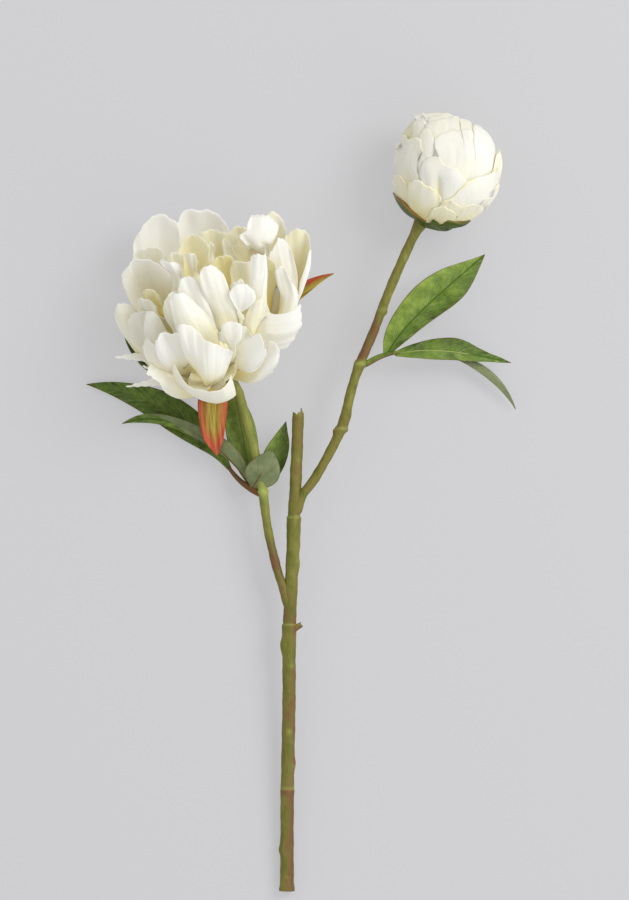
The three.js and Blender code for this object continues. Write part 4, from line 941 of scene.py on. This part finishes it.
# the edge term is painted shade along the back petals' edges
cream_and_shade = 0.3 + 0.16 * smooth((edge - 0.94) / 0.06)
sheets("bud_back_petals", grids, BUD_PETAL_THICK, {"cream_and_shade": cream_and_shade}, size, BUD_CLOTH, "bud_petals")
step = np.linspace(0, np.pi, 13)
egg = np.stack([(BUD_RADIUS + 1) * np.sin(step), -(BUD_HALF_HEIGHT - 4) * np.cos(step)], -1)
knob("bud_core", BUD, egg, folds=0.004, cream_and_shade=0.6, material=BUD_CLOTH, slot="bud_petals")

# %% [markdown]
# ## Leaf cloth
# The leaves are printed polyester, green above with paler veins and a satin face, and grey green below. A middle
# vein runs along the leaflet and side veins leave it at a slant. They stand up by less than 0.2 mm, so they are
# colour and a slight bump and not shape, and they follow the leaflet's own UV.


# %% Leaf cloth
def leaf_veins(tree):
    """Side veins, which are a saw of along minus 2.3 times across, folded into lines, then pale lines of painted
    sheen between them and the middle rib. All three read the leaflet's UV and run from 0 to 1."""
    uv = node(tree, "UVMap", uv_map="surface")
    parts = node(tree, "SeparateXYZ", {0: uv})
    across = node(tree, "Math", {0: parts.outputs[0]}, operation="ABSOLUTE")
    # side veins every 12 mm that lean forward, bent by slow noise
    bent = node(tree, "TexNoise", {"Vector": uv, "Scale": 0.12, "Detail": 2.0})
    slant = node(tree, "Math", {0: across, 1: -2.3, 2: parts.outputs[1]}, operation="MULTIPLY_ADD")
    slant = node(tree, "Math", {0: bent, 1: 9.0, 2: slant}, operation="MULTIPLY_ADD")
    saw = node(tree, "Math", {0: slant, 1: 6.0}, operation="PINGPONG")
    vein = node(tree, "MapRange", {0: saw, 1: 0.0, 2: 2.2, 3: 1.0, 4: 0.0}, interpolation_type="SMOOTHSTEP")
    # painted sheen between them, in pale lines 2 mm wide and 10 mm long, that fade the veins too
    slant_at = node(tree, "Math", {0: slant, 1: 5.0}, operation="MULTIPLY")
    streak_at = node(tree, "CombineXYZ", {0: across, 1: slant_at})
    streak_at = node(tree, "Mapping", {0: streak_at, 3: (0.12, 0.1, 1)})
    painted_sheen = node(tree, "TexNoise", {"Vector": streak_at, "Scale": 1.0, "Detail": 3.0, "Roughness": 0.6})
    painted_sheen = node(tree, "MapRange", {0: painted_sheen, 1: 0.42, 2: 0.72}, interpolation_type="SMOOTHSTEP")
    vein = node(tree, "Math", {0: vein, 1: painted_sheen}, operation="MULTIPLY")
    rib = node(tree, "MapRange", {0: across, 1: 0.2, 2: 0.75, 3: 1.0, 4: 0.0}, interpolation_type="SMOOTHSTEP")
    return vein, painted_sheen, rib


def leaf_cloth(tree, shader):
    """Printed polyester leaf: blotched green with pale veins above, with painted sheen in pale lines and painted
    light and shade that lift or lower a leaflet or one side of it, grey green with a brown rib below, and a thin
    brown edge."""
    vein, painted_sheen, rib = leaf_veins(tree)
    # uneven print in blots of about 6 mm
    place = node(tree, "TexCoord").outputs["Object"]
    blots = node(tree, "TexNoise", {"Vector": place, "Scale": 130.0, "Detail": 4.0, "Roughness": 0.65})
    # the mark light: each leaflet's own tone, partly painted light and shade, plus one side lighter or darker as
    # painted light
    light = node(tree, "Attribute", attribute_name="light").outputs["Fac"]
    tone = node(tree, "Math", {0: blots, 1: light}, operation="ADD", use_clamp=True)
    above = node(tree, "ValToRGB", {0: tone}, [(0.22, "#33440f"), (0.9, "#8da142"), (0.52, "#577020")])
    # painted sheen: pale lines mixed over the green
    pale = node(tree, "Math", {0: painted_sheen, 1: 0.3}, operation="MULTIPLY")
    above = node(tree, "Mix", {0: pale, 6: above, 7: linear("#94a767")}, data_type="RGBA").outputs[2]
    pale = node(tree, "Math", {0: vein, 1: 0.4}, operation="MULTIPLY")
    above = node(tree, "Mix", {0: pale, 6: above, 7: linear("#b0ba8c")}, data_type="RGBA").outputs[2]
    ribbed = node(tree, "Attribute", attribute_name="rib").outputs["Fac"]
    dark_or_pale = node(tree, "Mix", {0: ribbed, 6: linear("#43601f"), 7: linear("#a8b068")}, data_type="RGBA")
    above = node(tree, "Mix", {0: rib, 6: above, 7: dark_or_pale.outputs[2]}, data_type="RGBA").outputs[2]
    below = node(tree, "ValToRGB", {0: tone}, [(0.2, "#5c6642"), (0.9, "#868f66")])
    rib_below = node(tree, "Math", {0: rib, 1: ribbed}, operation="MULTIPLY")
    below = node(tree, "Mix", {0: rib_below, 6: below, 7: linear("#6a4f2a")}, data_type="RGBA").outputs[2]
    # a turned part shows its underside to the sky
    under = node(tree, "Attribute", attribute_name="under").outputs["Fac"]
    turned_over = node(tree, "Attribute", attribute_name="turned").outputs["Fac"]
    under = node(tree, "Math", {0: under, 1: turned_over}, operation="SUBTRACT")
    under = node(tree, "Math", {0: under}, operation="ABSOLUTE")
    colour = node(tree, "Mix", {0: under, 6: above, 7: below}, data_type="RGBA").outputs[2]
    brown = node(tree, "Attribute", attribute_name="brown").outputs["Fac"]
    colour = node(tree, "Mix", {0: brown, 6: colour, 7: linear("#6a4228")}, data_type="RGBA").outputs[2]
    tree.links.new(colour, shader.inputs["Base Color"])
    height = node(tree, "Math", {0: vein, 1: -1.0, 2: blots.outputs[0]}, operation="MULTIPLY_ADD")
    height = node(tree, "Math", {0: rib, 1: -1.0, 2: height}, operation="MULTIPLY_ADD")
    bump = node(tree, "Bump", {"Height": height, "Strength": 0.6, "Distance": 0.0006})
    tree.links.new(bump.outputs[0], shader.inputs["Normal"])
    shader.inputs["Roughness"].default_value = 0.45
    shader.inputs["Specular IOR Level"].default_value = 0.2


LEAF_CLOTH = finish_material("printed_polyester_leaf", leaf_cloth)
print("leaf finish has", len(LEAF_CLOTH.node_tree.nodes), "nodes")

# %% [markdown]
# ## Leaflets
# Real leaflets are cut from cloth round a wire, so they bend along the wire and ripple at the free edges. A flat
# outline bent by a modifier would ripple evenly. Here each leaflet is a blade along a curved midrib, with its own
# half width on either side, folded a little along the rib. flip tells which ones show their underside to the sky.

# %% Leaflet rows
BUD_LEAFLETS = [
    dict(ends=[(71, 387, 27), (80, 408, 32), (112, 434, 31), (142, 460, 18)],
         left=(2.5, 8, 11.5, 13.5, 15, 15.5, 14.5, 12, 8, 3.8, 0.2),
         right=(1.5, 5, 7.5, 9, 10.5, 12, 13, 12.5, 9.5, 5, 0.2),
         fold=14, wave=1.1, waves=2.2, roll=(-8, 6), light=0.05, painted_side_light=0.18, rib=0.0),
    dict(ends=[(77, 388, 26), (102, 394, 28), (128, 389.5, 22), (161, 382, 11)],
         left=(1.5, 4, 6, 8, 9.4, 10, 8.4, 5.6, 3.4, 2, 0.2),
         right=(1.5, 4, 5.5, 6.5, 6.5, 6, 5.5, 4.5, 3, 1.8, 0.2),
         fold=12, wave=0.9, waves=1.9, roll=(6, -10), phase=1, light=-0.03, painted_side_light=-0.08, rib=0.7, rib_ends=0.6),
    dict(ends=[(88, 388.5, 22), (120, 394, 14), (152, 377, 12), (164.5, 348.5, 6)],
         left=(1.0, 1.2, 1.4, 1.6, 2.2, 3, 3.2, 2.6, 1.6, 0.2),
         right=(1.0, 1.2, 1.4, 1.6, 2.2, 3, 3, 2.4, 1.4, 0.2),
         fold=16, wave=0.5, waves=1.6, roll=(150, 190), phase=2, light=0.1, rib=0.0),
]
BLOOM_LEAFLETS = [
    dict(ends=[(-42, 305, 12.6), (-58, 328, 5), (-90, 360, 6), (-146, 366.5, 4)],
         left=(1.5, 4, 8, 11, 12, 11, 9, 6.5, 3.5, 0.2),
         right=(1.5, 5, 9, 11.5, 12, 11.5, 9.5, 7, 4, 0.2),
         fold=7, wave=0.9, waves=2, roll=(10, 0), light=-0.1, rib=0.15),
    dict(ends=[(-26, 292, 18), (-46, 322, 25), (-84, 352, 11), (-120, 338, 8)],
         left=(0.5, 0.5, 0.7, 1.6, 3, 4, 4, 3.5, 2.5, 0.2),
         right=(1.0, 6, 9, 9, 7, 5, 4.2, 4, 3, 0.2),
         fold=8, wave=0.7, waves=1.6, roll=(-20, 10), phase=1, light=0.0, turned=0.7, rib=1.0, rib_ends=0.34),
    dict(ends=[(-26, 292, 15), (-31, 318, 10), (-35, 345, 7), (-44, 376, 5)],
         left=(1.5, 6, 9.5, 11, 11.5, 11, 9, 6, 3, 0.2),
         right=(1.5, 6, 9, 10, 10.5, 10, 8, 5, 2.5, 0.2),
         fold=6, wave=0.7, waves=1.7, phase=2, light=0.24, painted_side_light=-0.12, rib=0.3),
    dict(ends=[(-25, 290, 17), (-14, 296, 13), (-8, 312, 14), (-1.5, 339.5, 18)],
         left=(1.5, 4, 8, 10, 10, 9, 6.5, 3.5, 0.2),
         right=(1.5, 3, 6, 7.5, 8, 7.5, 6, 3, 0.2),
         fold=8, wave=0.6, waves=1.6, roll=(20, 0), light=0.04, painted_side_light=0.1, rib=0.3),
    dict(ends=[(-26, 291, 19), (-21, 299, 28), (-16, 308, 29), (-12, 319, 27)],
         left=(1, 7, 10.5, 11.5, 10.5, 8, 5, 0.5),
         right=(1, 7, 11, 13, 13, 11, 7, 0.5),
         fold=-6, wave=0.8, waves=1.3, roll=(0, 12), phase=3, light=0.0, flip=True, rib=1.0, rib_ends=0.42),
]


# %% Leaflets
def leaf_spray(name, rows, slot):
    """All the leaflets of one compound leaf as one piece. flip turns a grid over, by running across backwards."""
    looks = ("light", "painted_side_light", "flip", "rib", "rib_ends", "turned")
    grids, size = stacked(blade(**{key: row[key] for key in row if key not in looks}) for row in rows)
    over = [k for k, row in enumerate(rows) if row.get("flip")]
    grids[over], size[over] = grids[over][:, :, ::-1], size[over][:, :, ::-1]
    u, v = shares(*grids.shape[1:3])
    own = lambda key, plain: np.array([row.get(key, plain) for row in rows])[:, None, None] + 0 * u + 0 * v
    # painted light and shade: each leaflet's tone, and a slope across it that lights one side
    light = own("light", 0) + own("painted_side_light", 0) * v
    rib = own("rib", 0.5) * (1 - smooth((u - own("rib_ends", 2)) / 0.06))
    turned = smooth((own("turned", -1) - 0.16 * v - u) / 0.03)
    edge = np.maximum(smooth((np.abs(v) - 0.94) / 0.06), smooth((u - 0.955) / 0.04))
    brown = 0.75 * edge + 0 * grids[..., 0]
    marks = {"light": light, "brown": brown, "rib": rib, "turned": turned}
    sheets(name, grids, LEAF_THICK, marks, size, LEAF_CLOTH, slot)


leaf_spray("bud_branch_leaflets", BUD_LEAFLETS, "leaf_by_bud")
leaf_spray("bloom_branch_leaflets", BLOOM_LEAFLETS, "leaf_by_bloom")

# %% [markdown]
# ## Stem plastic
# Soft plastic over wire, tinted olive green, with a darker red brown wash rubbed on one side and round the
# joints. The face is satin with a fine lengthwise grain.


# %% Stem plastic
def stem_plastic(tree, shader):
    """Tinted soft plastic: olive with red brown where the mark blush is high, broken up by noise."""
    place = node(tree, "TexCoord").outputs["Object"]
    # blotches of about 5 mm, drawn out along the stem
    long = node(tree, "Mapping", {0: place, 3: (180, 70, 180)})
    blots = node(tree, "TexNoise", {"Vector": long, "Scale": 1.0, "Detail": 5.0, "Roughness": 0.65})
    fine_at = node(tree, "Mapping", {0: place, 3: (900, 260, 900)})
    fine = node(tree, "TexNoise", {"Vector": fine_at, "Scale": 1.0, "Detail": 3.0})
    green = node(tree, "ValToRGB", {0: blots}, [(0.3, "#5d611f"), (0.7, "#918e43"), (0.5, "#77762e")])
    blush = node(tree, "Attribute", attribute_name="blush").outputs["Fac"]
    share = node(tree, "Math", {0: blots, 1: 1.6, 2: blush}, operation="MULTIPLY_ADD")
    share = node(tree, "MapRange", {0: share, 1: 1.0, 2: 1.6, 3: 0.0, 4: 0.9}, interpolation_type="SMOOTHSTEP")
    colour = node(tree, "Mix", {0: share, 6: green, 7: linear("#74492f")}, data_type="RGBA").outputs[2]
    grain = node(tree, "Math", {0: fine, 1: 0.36}, operation="MULTIPLY")
    colour = node(tree, "Mix", {0: grain, 6: colour, 7: linear("#4f4d22")}, data_type="RGBA").outputs[2]
    # the mark pale: leaf scars, and painted highlight on the rims of the joints
    pale = node(tree, "Attribute", attribute_name="pale").outputs["Fac"]
    colour = node(tree, "Mix", {0: pale, 6: colour, 7: linear("#a6b45a")}, data_type="RGBA").outputs[2]
    tree.links.new(colour, shader.inputs["Base Color"])
    height = node(tree, "Math", {0: fine, 1: 0.5, 2: blots.outputs[0]}, operation="MULTIPLY_ADD")
    bump = node(tree, "Bump", {"Height": height, "Strength": 0.5, "Distance": 0.0008})
    tree.links.new(bump.outputs[0], shader.inputs["Normal"])
    shader.inputs["Roughness"].default_value = 0.5
    shader.inputs["Specular IOR Level"].default_value = 0.28


STEM_PLASTIC = finish_material("olive_soft_plastic_stem", stem_plastic)
print("stem finish has", len(STEM_PLASTIC.node_tree.nodes), "nodes")

# %% [markdown]
# ## Stem
# The stem forks to each flower, with a swelling at every joint, leaf scars, and a torn stub at the top. A curve
# with a round bevel gives a smooth pipe and nothing else, so each tube is rings of points on a smooth line, and
# swellings, bumps and a jagged end are added to the radius of a ring.

# %% Stem routes
MAIN = [
    (-0.9, 0, 5.1, 5.3), (-0.8, 20, 6, 4.9), (-0.6, 70, 9.3, 4.8), (0.7, 140, 14.5, 4.8), (0.7, 182, 17.5, 4.7),
    (1.8, 211, 19.5, 4.7), (3.8, 254, 22, 4.5), (4.2, 269, 23, 4.5), (6, 305, 25, 4.2), (7, 334, 26.4, 4.2),
]
BLOOM_BRANCH = [
    (1.6, 205, 19, 3.0), (-3, 219, 20, 3.2), (-7.9, 233, 20.5, 3.2), (-14.4, 261, 21.5, 3.1), (-18, 287, 21.5, 3.3),
    (-22.6, 312, 20, 3.3), (-29.5, 337, 18.5, 3.6), (-36, 360, 17, 3.8), (-44, 373, 19, 4.2), (-49, 381, 24, 5.0),
]
BUD_BRANCH = [
    (5, 274, 23.5, 3.2), (10, 286, 24.5, 3.4), (19, 298, 26, 3.4), (31, 319, 28, 3.4), (39.2, 337, 29, 3.6),
    (45.6, 362, 30, 3.4), (51.4, 380, 31, 3.5), (62, 405, 32, 3.3), (71.8, 431, 33, 3.4), (83, 457, 33.5, 3.4),
    (91, 474, 33.8, 3.6), (95.8, 483, 33.4, 5.2),
]
ROUND = 4  # millimetres of UV to a radian round a stem


def swept(stations, swells=(), bumps=(), rings=200, sides=28, jag=0.0, rough=0.12):
    """Closed tube on a smooth line through stations of x, y, z and radius. side is the upward direction made
    square to the line, other is line crossed with side. Each swell is (y, extra radius, length below, length
    above), and each bump (y, turn in degrees from the top to the right, height, length, width in degrees)."""
    u = np.linspace(0, 1, rings)
    line = through(stations, u)
    centre, radius = line[:, :3], line[:, 3]
    way = unit(np.gradient(centre, axis=0))
    side = unit(np.array([0, 0, 1.0]) - way * way[:, 2:3])
    other = np.cross(way, side)
    turn = np.linspace(0, 2 * np.pi, sides, endpoint=False)[None]
    y = centre[:, 1:2]
    r = radius[:, None] + rough * (np.sin(0.31 * y + 2 * turn) + 0.6 * np.sin(0.83 * y + 3 * turn))
    for at, extra, below, above in swells:
        r = r + extra * np.where(y < at, np.exp(-np.abs(at - y) / below), np.exp(-(((y - at) / above) ** 2)))
    for at, degrees, tall, long, wide in bumps:
        r = r + tall * bell(y, at, long) * bell(apart(np.degrees(turn), degrees), 0, wide)
    ring = centre[:, None] + side[:, None] * (r * np.cos(turn))[..., None]
    ring = ring + other[:, None] * (r * np.sin(turn))[..., None]
    torn = jag * (np.sin(3 * turn[0] + 1) + 0.7 * np.sin(7 * turn[0]) + 0.5 * np.sin(11 * turn[0] + 2))
    ring = ring + way[:, None] * (torn[None] * smooth((u - 0.96) / 0.04)[:, None])[..., None]
    points = np.concatenate([ring.reshape(-1, 3), [centre[0], centre[-1] - way[-1] * jag]])
    angle = np.concatenate([np.broadcast_to(turn, (rings, sides)).ravel(), [0, 0]])
    length = np.concatenate([[0], np.cumsum(np.linalg.norm(np.diff(centre, axis=0), axis=1))])
    run = np.concatenate([np.repeat(length, sides), [0, length[-1]]])
    return points, tube_faces(rings, sides), np.stack([angle * ROUND, run], -1)


print("stem from", MAIN[0][:3], "to", MAIN[-1][:3])


# %% Stem
def tube_piece(name, made, wash, pale, scars=()):
    """One or more tubes as one piece of the stem. wash lists (y, share at the left, share at the right) of the red
    brown wash, read between its rows. pale lists (y, spread, strength) of pale rings, which at the joints are
    painted highlight on the collar rims, and scars (y, turn in degrees, strength) of pale spots."""
    starts = np.cumsum([0, *(len(one[0]) for one in made)])
    faces = [[corner + start for corner in face] for one, start in zip(made, starts.tolist()) for face in one[1]]
    points, uv = (np.concatenate([one[k] for one in made]) for k in (0, 2))
    at, left, right = np.array(wash).T
    turn = uv[:, 0] / ROUND
    share = smooth(0.5 + 0.6 * np.sin(turn))
    y = points[:, 1]
    blush = np.interp(y, at, left) * (1 - share) + np.interp(y, at, right) * share
    light = sum(strength * bell(y, middle_at, spread) for middle_at, spread, strength in pale)
    for scar_at, degrees, strength in scars:
        light = light + strength * bell(y, scar_at, 1.7) * bell(apart(np.degrees(turn), degrees), 0, 24)
    marks = {"blush": blush, "pale": np.clip(light + 0 * y, 0, 1)}
    new_piece(name, points, faces, marks, uv, STEM_PLASTIC, "stem")


MAIN_WASH = [
    (0, 0.15, 0.7), (68, 0.2, 0.75), (72.5, 0.6, 0.95), (75, 0.25, 0.4), (110, 0.38, 0.55), (150, 0.3, 0.55),
    (183, 0.15, 0.4), (190, 0.3, 0.6), (197, 0.5, 0.6), (212, 0.42, 0.5), (224, 0.12, 0.3), (240, 0.3, 0.2),
    (262, 0.08, 0.2), (270, 0.08, 0.2), (274, 0.35, 0.45), (300, 0.25, 0.4), (345, 0.4, 0.45),
]
BLOOM_WASH = [
    (200, 0.4, 0.4), (222, 0.3, 0.35), (238, 0.75, 0.7), (252, 0.6, 0.45), (262, 0.05, 0), (300, 0, -0.1),
    (390, 0.1, -0.1),
]
BUD_WASH = [
    (270, 0.35, 0.35), (300, 0.35, 0.3), (328, 0.3, 0.3), (336, 0.5, 0.5), (350, 0.2, 0.08), (374, 0.25, 0.1),
    (382, 0.3, 0.2), (387, 0.75, 0.7), (408, 0.65, 0.55), (426, 0.3, 0.08), (485, 0.35, 0.0),
]
main_swells = [(270.5, 1.0, 16, 0.5), (192.5, 0.9, 14, 0.5), (73.5, 0.35, 10, 0.5), (1, 0.5, 3, 3)]
main_bumps = [
    (178, 290, 1.6, 5, 26), (163, 20, 0.9, 4, 30), (116, 10, 0.7, 3, 40), (92, 75, 1.2, 4, 30),
    (30, 285, 1.3, 4, 28), (250, 80, 0.7, 3, 30), (236, 85, 0.8, 5, 40), (306, 280, 0.6, 3, 30),
    (11, 10, -0.5, 1.2, 14),
]
main_stem = swept(MAIN + [(7.4, 345, 26.8, 4.1)], main_swells, main_bumps, rings=300, jag=1.1)
stub_nub = swept([(4, 189.5, 18.5, 2.6), (7, 191.6, 18.8, 2.2), (9.6, 193, 19, 1.9)], rings=20, sides=14, jag=0.3)
splinter = swept([(9.4, 330, 26.3, 1.6), (9.8, 343, 27.4, 1.2), (9.6, 349, 28, 0.5)], rings=24, sides=10, jag=0.2)
# the pale rings at the joints are painted highlight on the collar rims
tube_piece("main_stem", [main_stem, stub_nub, splinter], MAIN_WASH,
           [(270.7, 0.6, 0.4), (193, 0.6, 0.35), (74.2, 0.6, 0.3), (347, 3, 0.3)],
           [(115, 5, 0.5), (163, 18, 0.28), (109, 30, 0.15), (312, 20, 0.2), (90, 60, 0.25), (239, 70, 0.25)])
bloom_branch = swept(BLOOM_BRANCH, [(289, 0.8, 3, 1.0), (208, 1.4, 8, 9)], [(289, 80, 1.0, 2, 30)], rings=160)
tube_piece("bloom_branch", [bloom_branch], BLOOM_WASH, [(289, 3, 0.5), (300, 26, 0.25), (345, 30, 0.2)])
bud_swells = [(334, 0.5, 3, 1.0), (381, 0.9, 3, 1.0), (276, 1.2, 6, 7)]
bud_bumps = [(335, 85, 1.3, 2, 26), (331, 275, 1.5, 2.4, 26), (419, 85, 1.1, 1.6, 22), (344, 95, 0.8, 6, 40)]
tube_piece("bud_branch", [swept(BUD_BRANCH, bud_swells, bud_bumps, rings=200)], BUD_WASH,
           [(334.5, 1.2, 0.35), (381, 1.6, 0.45), (420, 1.5, 0.2)])

# %% [markdown]
# ## Leaf stalks
# A compound leaf hangs on a short thin stalk of its own. It is made as the stem is, with the leaf's finish, because
# on the real spray it is the leaf's wire wrapped in the same cloth.

# %% Leaf stalks
BUD_STALK = [
    (52.5, 379, 30, 1.9), (58, 382, 28, 2.1), (66, 386, 27.6, 2.0), (76, 389, 26.6, 1.6), (88, 389.5, 23, 1.0),
]
BLOOM_STALK = [(-20, 287, 21.5, 2.2), (-27, 291, 18, 2.4), (-36, 298, 14.5, 1.7), (-43.5, 307, 12.6, 1.4)]


def stalk(name, stations, slot, green):
    """A leaf stalk as a small tube in the leaf's own finish, brown all round or brown below and green above."""
    points, faces, uv = swept(stations, rings=40, sides=16, rough=0.1)
    brown = 0.9 - 0.85 * green * smooth(0.9 - np.sin(uv[:, 0] / ROUND))
    marks = {"light": np.full(len(points), 0.1 * green), "brown": brown}
    marks |= {key: np.zeros(len(points)) for key in ("under", "rib", "turned")}
    new_piece(name, points, faces, marks, uv, LEAF_CLOTH, slot)


stalk("bud_branch_leaf_stalk", BUD_STALK, "leaf_by_bud", 1.0)
stalk("bloom_branch_leaf_stalk", BLOOM_STALK, "leaf_by_bloom", 0.0)

# %% [markdown]
# ## Sepals
# Small tough leaves behind the petals. On the bloom one hangs down and is red with a yellow green middle and dark
# stripes, one at the right has a red upper edge, and one at the left is green. They are blades, as the leaflets
# are. The bud sits in short dark green ones that hug it, so those lie on its form, as its petals do. Where a
# sepal is red depends on its own shape, so it is worked out point by point and kept as a mark.


# %% Sepal cloth
def sepal_cloth(tree, shader):
    """Printed polyester sepal: green, with red towards the edges where the mark red is high."""
    uv = node(tree, "UVMap", uv_map="surface")
    # stripes 2 mm wide and 30 mm long
    stripes_at = node(tree, "Mapping", {0: uv, 3: (0.45, 0.03, 1)})
    stripes = node(tree, "TexNoise", {"Vector": stripes_at, "Scale": 1.0, "Detail": 3.0, "Roughness": 0.6})
    green = node(tree, "ValToRGB", {0: stripes}, [(0.3, "#2f3d14"), (0.7, "#5f7029")])
    olive = node(tree, "ValToRGB", {0: stripes}, [(0.34, "#6b5a22"), (0.6, "#b7a445")])
    crimson = node(tree, "ValToRGB", {0: stripes}, [(0.3, "#8e2f20"), (0.7, "#c8603f")])
    red = node(tree, "Attribute", attribute_name="red").outputs["Fac"]
    warm = node(tree, "Attribute", attribute_name="warm").outputs["Fac"]
    inner = node(tree, "Mix", {0: red, 6: olive, 7: crimson}, data_type="RGBA").outputs[2]
    colour = node(tree, "Mix", {0: warm, 6: green, 7: inner}, data_type="RGBA").outputs[2]
    tree.links.new(colour, shader.inputs["Base Color"])
    bump = node(tree, "Bump", {"Height": stripes, "Strength": 0.4, "Distance": 0.0006})
    tree.links.new(bump.outputs[0], shader.inputs["Normal"])
    shader.inputs["Roughness"].default_value = 0.45
    shader.inputs["Specular IOR Level"].default_value = 0.25
    shader.inputs["Subsurface Weight"].default_value = 0.1
    shader.inputs["Subsurface Radius"].default_value = (1.0, 0.5, 0.2)
    shader.inputs["Subsurface Scale"].default_value = 0.002


SEPAL_CLOTH = finish_material("printed_polyester_sepal", sepal_cloth)
print("sepal finish has", len(SEPAL_CLOTH.node_tree.nodes), "nodes")

# %% Sepals of the bloom
BLOOM_SEPALS = [
    dict(ends=[(-50, 377, 24), (-57, 360, 28), (-55, 338, 29), (-51, 315, 23)],
         left=(5, 9, 11, 9.5, 6.5, 0.4), right=(5, 9, 10.5, 9.5, 7.5, 0.4), fold=5, wave=1.2, waves=1.1,
         roll=(0, -6)),
    dict(ends=[(-46, 384, 23), (-30, 398, 9), (2, 436, 18), (33, 446, 29)],
         left=(5, 6.5, 7, 6, 4.6, 0.4), right=(5, 6.5, 7, 6, 4.6, 0.4), fold=6, wave=0.8, waves=1.1,
         roll=(-15, -34)),
    dict(ends=[(-54, 383, 23), (-86, 366, 18), (-109.5, 384, 24), (-117.5, 401.5, 37)],
         left=(5, 7, 7, 6, 3.5, 0.4), right=(5, 7, 7.5, 6.5, 4, 0.4), fold=5, wave=0.8, waves=1.1, roll=(0, 14)),
]
grids, size = stacked(blade(**row, rows=70, cols=29) for row in BLOOM_SEPALS)
u, v = shares(70, 29)
hanging = np.clip(1.25 * np.abs(v) ** 1.3 + 1.1 * smooth((u - 0.62) / 0.38) - 0.12, 0, 1)
red = np.stack([hanging, smooth((v + 0.15) / 0.5) + 0 * u, 0 * hanging])
warm = np.stack([0 * hanging + share for share in (1, 1, 0)])
sheets("bloom_sepals", grids, SEPAL_THICK, {"red": red, "warm": warm}, size, SEPAL_CLOTH, "bloom_calyx")


def cup(name, flower, profile, slot):
    """The closed green cup that a flower's sepals grow from."""
    points, faces = turned(flower, profile, 0.02, sides=40, rings=30)
    marks = {key: np.zeros(len(points)) for key in ("red", "warm", "under")}
    new_piece(name, points, faces, marks, points[:, :2], SEPAL_CLOTH, slot)


cup("bloom_cup", BLOOM, [[1, -6], [5, -6], [9, -3.5], [10.5, 1], [9, 4.5], [1, 5]], "bloom_calyx")

# %% Sepals of the bud
BUD_SEPALS = [
    ([(412.5, 225), (405, 216), (400, 210)], [(396, 203.5), (392, 195), (393.5, 194)],
     [(421, 220), (412.5, 212), (403, 203.5)], 4.6, dict(cream_and_shade=0)),
    ([(421, 225), (425, 228)], [(430, 230), (435, 231.5), (439.5, 230), (440.5, 227)],
     [(432, 222), (437, 224)], 5.4, dict(cream_and_shade=0)),
    ([(438, 226), (445, 228)], [(452, 229), (460, 227.5), (466, 225), (470, 222)],
     [(446, 223), (456, 224)], 5.0, dict(cream_and_shade=0)),
]
BACK_SEPALS = [
    dict(around=128, half=30, top=118, off=3.6, point=1.5, narrow=0.6),
    dict(around=48, half=30, top=128, off=3.6, point=1.5, narrow=0.6),
    dict(around=90, half=34, top=130, off=3.0, point=1.5, narrow=0.6),
]
front = [egg_petal(row, k, rows=36, cols=28) for k, row in enumerate(BUD_SEPALS)]
back = [wrapped(row, k + 3, rows=36, cols=28, start=166, pleats=0.4) for k, row in enumerate(BACK_SEPALS)]
grids, _, size = facing_out(front + back)
u, v = shares(36, 28)
v = -v  # the columns were reversed
brown = np.zeros(grids.shape[:3])
brown[0] = np.maximum(0.62 * smooth((v - 0.45) / 0.4) * smooth((u - 0.15) / 0.2), 0.8 * smooth((u - 0.86) / 0.08))
brown[2] = 0.35 * smooth((v - 0.75) / 0.2)
sheets("bud_sepals", grids, SEPAL_THICK, {"red": brown * 0.8, "warm": brown}, size, SEPAL_CLOTH, "bud_calyx")
cup("bud_cup", BUD, [[1, -45.5], [9, -45.5], [13.5, -42], [12, -38], [1, -37]], "bud_calyx")
